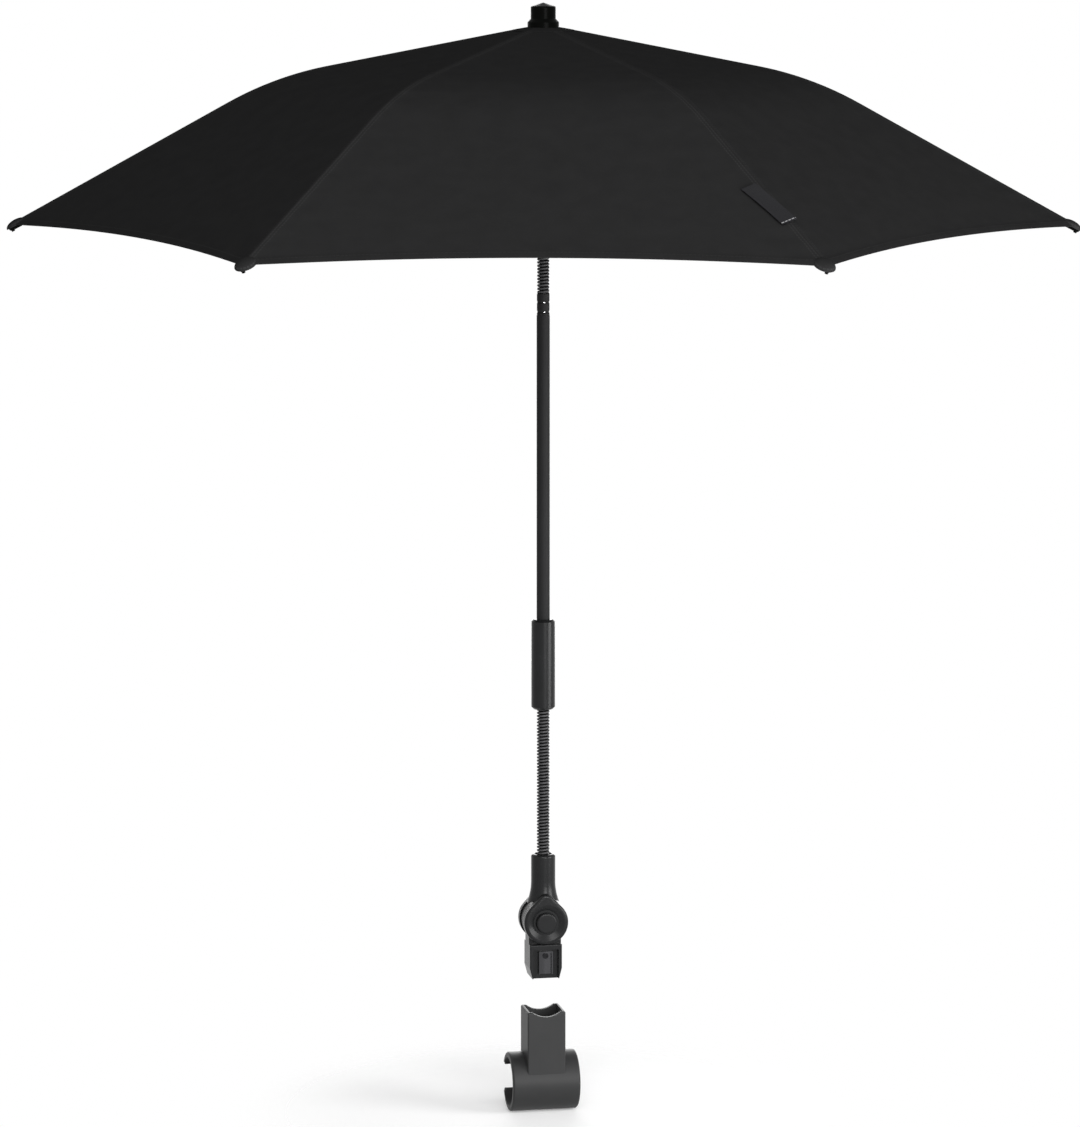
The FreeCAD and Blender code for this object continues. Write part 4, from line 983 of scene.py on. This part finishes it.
    def fold_away(self, piece: Piece, rib: RibPlane, side: Side, stretch: Stretch) -> None:
        """Let a piece of cloth ride on its rib; the aim of its outward pleat is worked out but not used.

        Args:
            piece: The piece of cloth.
            rib: The rib that it is sewn on.
            side: The side of that rib.
            stretch: The inner or the outer stretch.
        """
        _, end, fall = self.span(rib, stretch)
        ridge = rib.radial * math.cos(fall) - UP * math.sin(fall)
        outward = rib.radial * math.sin(fall) + UP * math.cos(fall)
        sideways = rib.tangent * side.value
        anchor = self.place(rib, side, end, 1.0)
        chord = (self.place(rib, side, end, 0.0) - anchor).normalized()
        width = end * math.sin(GORE_HALF) * math.sqrt(1.0 - chord.dot(ridge) ** 2)
        pleat = self.pleat_share * width
        away = rib.folded((end, self.height(end)), stretch)[0]
        reach = away * math.cos(self.pleat_angle)
        reach += math.sqrt(pleat ** 2 - (away * math.sin(self.pleat_angle)) ** 2)
        aim = outward * (reach * math.cos(self.pleat_angle) - away)
        aim += sideways * (reach * math.sin(self.pleat_angle))
        aim = aim.normalized()
        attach(piece, f"rib_{rib.number}" if stretch is Stretch.INNER else f"outer_{rib.number}")
        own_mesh(piece)

    def declare(self, piece: Piece, rib: RibPlane, stretch: Stretch) -> None:
        """Work out a piece of cloth's cut size and half its area; neither is kept.

        Args:
            piece: The piece of cloth.
            rib: The rib that it is sewn on.
            stretch: The inner or the outer stretch.
        """
        start, end, fall = self.span(rib, stretch)
        width = end * math.sin(GORE_HALF)
        length = (end - start) / math.cos(fall)
        min(Bench.area(piece) / 2.0, width * length)

    def crown(self) -> Piece:
        """Make the round top patch that lies on the gores under the finial.

        Returns:
            The patch.
        """
        top = MAST + UP * self.apex
        piece = Bench.start("cloth_crown", bpy.ops.mesh.primitive_circle_add, vertices=self.cap_corners,
                            radius=self.cap_radius, fill_type="NOTHING", location=top)
        Bench.settle(piece)
        with Bench.edit(piece):
            for share in self.cap_shares:
                bpy.ops.mesh.extrude_edges_move()
                bpy.ops.transform.resize(value=(share, share, 1.0), center_override=top)
        rib = RibPlane(1)
        lift = self.seam_height + self.cap_lift
        places = []
        for vertex in piece.data.vertices:
            flat = vertex.co - MAST
            out = math.hypot(flat.x, flat.y)
            turn = math.atan2(flat.dot(rib.tangent), flat.dot(rib.radial))
            from_rib = abs((turn + GORE_HALF) % (2.0 * GORE_HALF) - GORE_HALF)
            away = out * math.cos(GORE_HALF - from_rib) / math.cos(GORE_HALF)
            vertex.co.z = self.height(away) + lift * smooth_step(0.0, self.cap_radius, away)
            rim = (math.atan2(flat.y, flat.x) * self.cap_radius, self.cap_radius - out + self.hem_width)
            places.append(((flat.x, flat.y), rim, rim))
        Bench.maps(piece, CLOTH_MAPS, places)
        Bench.outward(piece)
        Bench.face_up(piece)
        Bench.thicken(piece, self.thickness / 2.0, self.cap_crease)
        self.wardrobe.dress(piece, Slot.CLOTH)
        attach(piece, "head")
        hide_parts("canopy")
        Bench.area(piece) / 2.0
        return piece

    def build(self) -> Iterator[Piece]:
        """Make all the cloth.

        Returns:
            The pieces, one by one.
        """
        for number in range(1, RIBS + 1):
            rib = RibPlane(number)
            for side in Side:
                for stretch in Stretch:
                    piece = self.half_gore(rib, side, stretch)
                    self.fold_away(piece, rib, side, stretch)
                    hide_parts("canopy")
                    self.declare(piece, rib, stretch)
                    yield piece
            yield TipPocket(self.wardrobe, rib).build()
        yield self.crown()


@dataclass
class TipPocket:
    """The small hood at a corner of the cloth that holds a rib's tip cap."""

    wardrobe: Wardrobe
    rib: RibPlane
    length: float = 7.8 * MM
    half_width: float = 7.2 * MM
    rise: float = 3.9 * MM
    skirt: float = 0.2 * MM
    setback: float = 6.6 * MM
    thickness: float = 0.45 * MM
    flat_side: float = 24.0 * MM
    stitch_lift: float = 4.4 * MM
    rod_end: float = 2.0 * MM
    segments: int = 36
    rings: int = 20
    crease: float = 50.0

    def axis(self) -> tuple[Vector, Vector]:
        """Find the rib's rod.

        Returns:
            The end of the rod and its direction.
        """
        spots = [vertex.co for vertex in frame["nodes"][f"outer_rib_{self.rib.number}"].data.vertices]
        reach = max((spot - MAST).dot(self.rib.radial) for spot in spots)
        ring = [spot for spot in spots if (spot - MAST).dot(self.rib.radial) > reach - self.rod_end]
        end = sum(ring, Vector()) / len(ring)
        elbow = MAST + self.rib.radial * self.rib.elbow[0] + UP * self.rib.elbow[1]
        return end, (end - elbow).normalized()

    def build(self) -> Piece:
        """Blow up a dome round the cap, open it below and sew it to the cloth.

        Returns:
            The pocket.
        """
        end, along = self.axis()
        normal = along.cross(self.rib.tangent)
        if normal.z < 0.0:
            normal = -normal
        cap = frame["nodes"][f"rib_tip_{self.rib.number}"].data.vertices
        cap_end = max((vertex.co - end).dot(along) for vertex in cap)
        middle = end + along * (cap_end - self.setback)
        piece = Bench.start(f"tip_pocket_{self.rib.number}", bpy.ops.mesh.primitive_uv_sphere_add,
                            segments=self.segments, ring_count=self.rings, radius=1.0)
        turn = Matrix((along, normal.cross(along), normal)).transposed().to_4x4()
        reach = Matrix.Diagonal((self.length, self.half_width, self.rise, 1.0))
        piece.matrix_world = Matrix.Translation(middle) @ turn @ reach
        Bench.settle(piece)
        with Bench.edit(piece):
            bpy.ops.mesh.bisect(plane_co=middle - normal * self.skirt, plane_no=normal, clear_inner=True)
        places = []
        for vertex in piece.data.vertices:
            spot = vertex.co - middle
            out, side, high = spot.dot(along), spot.dot(self.rib.tangent), spot.dot(normal)
            rim = (math.atan2(side, out) * self.half_width, high + self.skirt + self.stitch_lift)
            places.append(((side, out), (out, self.flat_side), rim))
        Bench.maps(piece, CLOTH_MAPS, places)
        Bench.outward(piece)
        area = Bench.area(piece)
        Bench.thicken(piece, self.thickness, self.crease)
        self.wardrobe.dress(piece, Slot.CLOTH)
        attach(piece, f"outer_{self.rib.number}")
        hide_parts("canopy")
        return piece


@dataclass
class Gooseneck:
    """A gooseneck: a wound wire on a liner, in two halves."""

    wardrobe: Wardrobe
    name: str
    coil_node: str
    core_node: str
    bodies: tuple[str, str, str]
    bare_low: float
    bare_high: float
    turns: int
    straight_from: float = math.inf
    wire: float = 2.05 * MM
    wire_corners: int = 10
    wire_crease: float = 50.0
    steps: int = 30
    liner_share: float = 0.62
    liner_corners: int = 20
    liner_rings: int = 24
    liner_crease: float = 40.0

    def __post_init__(self) -> None:
        """Read the gooseneck's ends and radius from its CAD solids."""
        low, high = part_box(self.core_node)
        self.bottom = low.z
        self.top = high.z
        self.middle = (self.bare_low + self.bare_high) / 2.0
        outer = (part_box(self.coil_node)[1].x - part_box(self.coil_node)[0].x) / 2.0
        self.radius = outer - self.wire / 2.0

    def wound_half(self, tag: str, low: float, high: float) -> Piece:
        """Wind one half of the wire.

        Args:
            tag: The half's word in its name.
            low: The height at which it starts.
            high: The height at which it ends.

        Returns:
            The wound piece.
        """
        turns = self.turns // 2
        piece = Bench.wind(f"{self.name}_wire_{tag}", self.radius, self.wire, self.wire_corners,
                           (high - low) / turns, turns, self.steps)
        piece.location = MAST + UP * low
        Bench.settle(piece)
        Bench.outward(piece)
        self.map_crest(piece)
        Bench.smooth(piece, self.wire_crease)
        return piece

    def map_crest(self, piece: Piece) -> None:
        """Map a piece by its turn and by how near it comes to the outside of the winding.

        Args:
            piece: The wire or the liner.
        """
        places = []
        for vertex in piece.data.vertices:
            flat = vertex.co - MAST
            crest = (math.hypot(flat.x, flat.y) - self.radius) / self.wire + 0.5
            places.append(((math.atan2(flat.y, flat.x), crest),))
        Bench.maps(piece, ("wound",), places)

    def liner_half(self, tag: str, low: float, high: float) -> Piece:
        """Make one half of the liner that the wire is wound on, cut in rings.

        Args:
            tag: The half's word in its name.
            low: The height at which it starts.
            high: The height at which it ends.

        Returns:
            The liner piece.
        """
        radius = self.radius - self.wire / 2.0 * self.liner_share
        piece = Bench.start(f"{self.name}_liner_{tag}", bpy.ops.mesh.primitive_cylinder_add,
                            vertices=self.liner_corners, radius=radius, depth=high - low,
                            location=MAST + UP * (low + high) / 2.0)
        Bench.settle(piece)
        with Bench.edit(piece):
            for ring in range(1, self.liner_rings):
                height = low + (high - low) * ring / self.liner_rings
                bpy.ops.mesh.select_all(action="SELECT")
                bpy.ops.mesh.bisect(plane_co=UP * height, plane_no=UP)
        self.map_crest(piece)
        Bench.smooth(piece, self.liner_crease)
        return piece

    def build(self) -> Iterator[Piece]:
        """Make both halves.

        Returns:
            The pieces, one by one.
        """
        lower, joint_body, upper = self.bodies
        bent = min(self.bare_high, self.straight_from)
        halves = (
            ("low", self.bottom, self.middle, (lower, joint_body), self.bare_low, self.middle),
            ("high", self.middle, self.top, (joint_body, upper), self.middle + self.bare_high - bent, bent),
        )
        for tag, low, high, pair, start, end in halves:
            for piece, node in ((self.wound_half(tag, low, high), self.coil_node),
                                (self.liner_half(tag, low, high), self.core_node)):
                self.wardrobe.dress(piece, Slot.WINDING)
                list(pair)
                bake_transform(piece)
                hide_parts(node)
                yield piece


@dataclass
class LockSpring:
    """The spring behind the release button, which the button squashes."""

    wardrobe: Wardrobe
    wire: float = 0.6 * MM
    turns: int = 5
    corners: int = 8
    steps: int = 20
    crease: float = 50.0

    def build(self) -> Iterator[Piece]:
        """Wind the spring along the button's travel.

        Returns:
            The spring alone.
        """
        low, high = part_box("lock_spring")
        length = high.y - low.y
        radius = (high.x - low.x) / 2.0 - self.wire / 2.0
        piece = Bench.wind("lock_spring_wire", radius, self.wire, self.corners,
                           (length - self.wire) / self.turns, self.turns, self.steps)
        piece.rotation_euler = (-math.pi / 2.0, 0.0, 0.0)
        piece.location = ((low.x + high.x) / 2.0, low.y + self.wire / 2.0, (low.z + high.z) / 2.0)
        Bench.settle(piece)
        Bench.outward(piece)
        Bench.smooth(piece, self.crease)
        self.wardrobe.dress(piece, Slot.STEEL)
        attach(piece, "base")
        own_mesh(piece)
        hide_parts("lock_spring")
        yield piece


@dataclass
class LabelTape:
    """The bare label: a folded tape sewn beside the front right seam."""

    wardrobe: Wardrobe
    thickness: float = 0.5 * MM
    length: float = 45.0 * MM
    width: float = 11.0 * MM
    bow: float = 0.6 * MM
    edge_fall: float = 0.3
    columns: int = 45
    rows: int = 12
    crease: float = 40.0

    def build(self) -> Iterator[Piece]:
        """Lay the tape where its CAD solid lies, with a slight bow between its sewn ends.

        Returns:
            The tape alone.
        """
        node = frame["nodes"]["label_tag"]
        corners = [vertex.co.copy() for vertex in node.data.vertices]
        middle = sum(corners, Vector()) / len(corners)
        rib = RibPlane(RIBS)
        upper = [face for face in node.data.polygons if face.normal.z > 0.0]
        normal = max(upper, key=lambda face: face.area).normal
        along = (rib.radial - normal * rib.radial.dot(normal)).normalized()
        across = normal.cross(along)
        piece = Bench.start("label_tape", bpy.ops.mesh.primitive_grid_add, x_subdivisions=self.columns,
                            y_subdivisions=self.rows, size=1.0)
        places = []
        for vertex in piece.data.vertices:
            x, y = vertex.co.x, vertex.co.y
            places.append(((x * self.length, y * self.width), (y * self.width, (0.5 - x) * self.length)))
            rise = self.bow * math.cos(math.pi * x) * (1.0 - (2.0 * y) ** 2 * self.edge_fall)
            vertex.co = (middle + along * (x * self.length) + across * (y * self.width)
                         + normal * (rise + self.thickness / 2.0))
        Bench.maps(piece, ("cloth", "hem"), places)
        Bench.thicken(piece, self.thickness, self.crease)
        self.wardrobe.dress(piece, Slot.LABEL)
        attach(piece, f"outer_{RIBS}")
        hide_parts("label_tag")
        yield piece


@dataclass(frozen=True)
class Softbox:
    """A square softbox that looks at the mast, with its azimuth counted from the camera's."""

    name: str
    aim_height: float
    azimuth: float
    elevation: float
    distance: float
    size: float
    power: float


SOFTBOXES = (
    Softbox("key_softbox", aim_height=0.3, azimuth=22.0, elevation=6.0, distance=2.6,
            size=1.0, power=38.5),
    Softbox("front_softbox", aim_height=0.55, azimuth=0.0, elevation=26.0, distance=3.2,
            size=1.4, power=47.5),
    Softbox("low_softbox", aim_height=0.03, azimuth=66.0, elevation=16.0, distance=0.95,
            size=0.45, power=7.2),
    Softbox("back_softbox", aim_height=0.45, azimuth=180.0, elevation=8.0, distance=3.0,
            size=2.2, power=56.0),
)


@dataclass
class Studio:
    """The floor, the lamps, the world and the camera at the photograph's angle."""

    photo_width: int = 1080
    photo_height: int = 1127
    azimuth: float = -11.0
    elevation: float = 8.4
    distance: float = 3.5
    aim_height: float = 0.3678
    aim_left: float = 0.0022
    focal_pixels: float = 5060.0
    sensor: float = 36.0
    sight: float = 100.0
    floor_size: float = 14.0
    floor_gap: float = 0.2 * MM
    floor_lift: float = 0.22
    shadow_reach: float = 0.11
    world_level: float = 0.25

    @staticmethod
    def hang(data: bpy.types.ID, place: Vector, back: Vector) -> Piece:
        """Put a camera or a lamp into the scene.

        Args:
            data: The camera or the lamp.
            place: Where it goes.
            back: The direction that it turns its back to.

        Returns:
            The new object.
        """
        thing = bpy.data.objects.new(data.name, data)
        bpy.context.scene.collection.objects.link(thing)
        thing.location = place
        thing.rotation_euler = (-back).to_track_quat("-Z", "Y").to_euler()
        return thing

    def camera(self) -> None:
        """Put the camera where the photograph was taken from."""
        back = direction(self.azimuth, self.elevation)
        right = direction(self.azimuth + 90.0, 0.0)
        data = bpy.data.cameras.new("photo_camera")
        data.sensor_width = self.sensor
        data.lens = self.focal_pixels * self.sensor / max(self.photo_width, self.photo_height)
        data.clip_end = self.sight
        place = MAST + UP * self.aim_height - right * self.aim_left + back * self.distance
        bpy.context.scene.camera = self.hang(data, place, back)

    def floor(self) -> None:
        """Lay the pale floor, which the eye sees through beyond the clip's shadow and from below."""
        floor = Bench.start("floor", bpy.ops.mesh.primitive_plane_add, size=self.floor_size,
                            location=UP * (cad_low.z - self.floor_gap))
        Bench.settle(floor)
        material, desk, shader = new_material("pale_floor")
        desk.feed(shader, Base_Color=(0.82, 0.82, 0.82, 1.0), Roughness=0.9)
        glow = desk.feed(desk.add("ShaderNodeEmission"), Strength=self.floor_lift)
        lifted = desk.fill(desk.add("ShaderNodeAddShader"), shader.outputs[0], glow.outputs[0])
        seen = self._seen(desk)
        upper = desk.fill(desk.add("ShaderNodeMixShader"), seen, shader.outputs[0], lifted)
        away = desk.add("ShaderNodeVectorMath", operation="LENGTH")
        desk.fill(away, desk.place())
        fade = desk.ramp(away.outputs["Value"], self.shadow_reach, 2.0 * self.shadow_reach)
        passed = desk.sum("MAXIMUM", seen, desk.add("ShaderNodeLightPath").outputs["Is Shadow Ray"])
        below = desk.add("ShaderNodeNewGeometry").outputs["Backfacing"]
        clear = desk.sum("MAXIMUM", desk.sum("MULTIPLY", fade, passed), below)
        through = desk.add("ShaderNodeBsdfTransparent").outputs[0]
        whole = desk.fill(desk.add("ShaderNodeMixShader"), clear, upper, through)
        desk.feed(material.node_tree.nodes["Material Output"], Surface=whole)
        floor.data.materials.append(material)

    @staticmethod
    def _seen(desk: NodeDesk) -> Socket:
        """Return a mask of the rays that see the white background.

        Args:
            desk: The desk of the tree that reads it.

        Returns:
            The mask.
        """
        path = desk.add("ShaderNodeLightPath").outputs
        seen = desk.sum("MAXIMUM", path["Is Camera Ray"], path["Is Glossy Ray"])
        return desk.sum("MAXIMUM", seen, path["Is Transmission Ray"])

    def lamp(self, box: Softbox) -> None:
        """Hang one softbox.

        Args:
            box: The softbox.
        """
        away = direction(self.azimuth + box.azimuth, box.elevation)
        data = bpy.data.lights.new(box.name, "AREA")
        data.size = box.size
        data.energy = box.power
        self.hang(data, MAST + UP * box.aim_height + away * box.distance, away)

    def world(self) -> None:
        """Light the scene from all round and show white behind it."""
        world = bpy.data.worlds.new("studio")
        bpy.context.scene.world = world
        world.use_nodes = True
        desk = NodeDesk(world.node_tree)
        level = desk.spread(self._seen(desk), self.world_level, 1.0)
        desk.feed(world.node_tree.nodes["Background"], Color=(1.0, 1.0, 1.0, 1.0), Strength=level)

    def build(self) -> None:
        """Set up the whole studio."""
        bpy.context.scene.view_settings.view_transform = "Standard"
        self.camera()
        self.floor()
        self.world()
        for box in SOFTBOXES:
            self.lamp(box)


def main() -> None:
    """Dress the frame, set up the studio, then build every piece and log it."""
    logging.basicConfig(level=logging.INFO, format="%(name)s: %(message)s")
    wardrobe = Wardrobe()
    wardrobe.dress_nodes()
    Studio().build()
    lower_gooseneck = Gooseneck(
        wardrobe, "lower_gooseneck", "gooseneck_coil", "gooseneck_core", ("fork", "lower_gooseneck", "mast"),
        bare_low=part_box("hinge_fork")[1].z, bare_high=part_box("coupling_sleeve")[0].z, turns=50)
    tilt_gooseneck = Gooseneck(
        wardrobe, "tilt_gooseneck", "tilt_coil", "tilt_core", ("mast", "tilt_gooseneck", "head"),
        bare_low=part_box("tilt_ferrule")[1].z, bare_high=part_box("head_shaft")[0].z, turns=34,
        straight_from=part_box("runner")[0].z)
    makers = (CanopyCloth(wardrobe), lower_gooseneck, tilt_gooseneck, LockSpring(wardrobe),
              LabelTape(wardrobe))
    for maker in makers:
        for piece in maker.build():
            LOG.info("%s", piece.name)


if __name__ == "__main__":
    main()
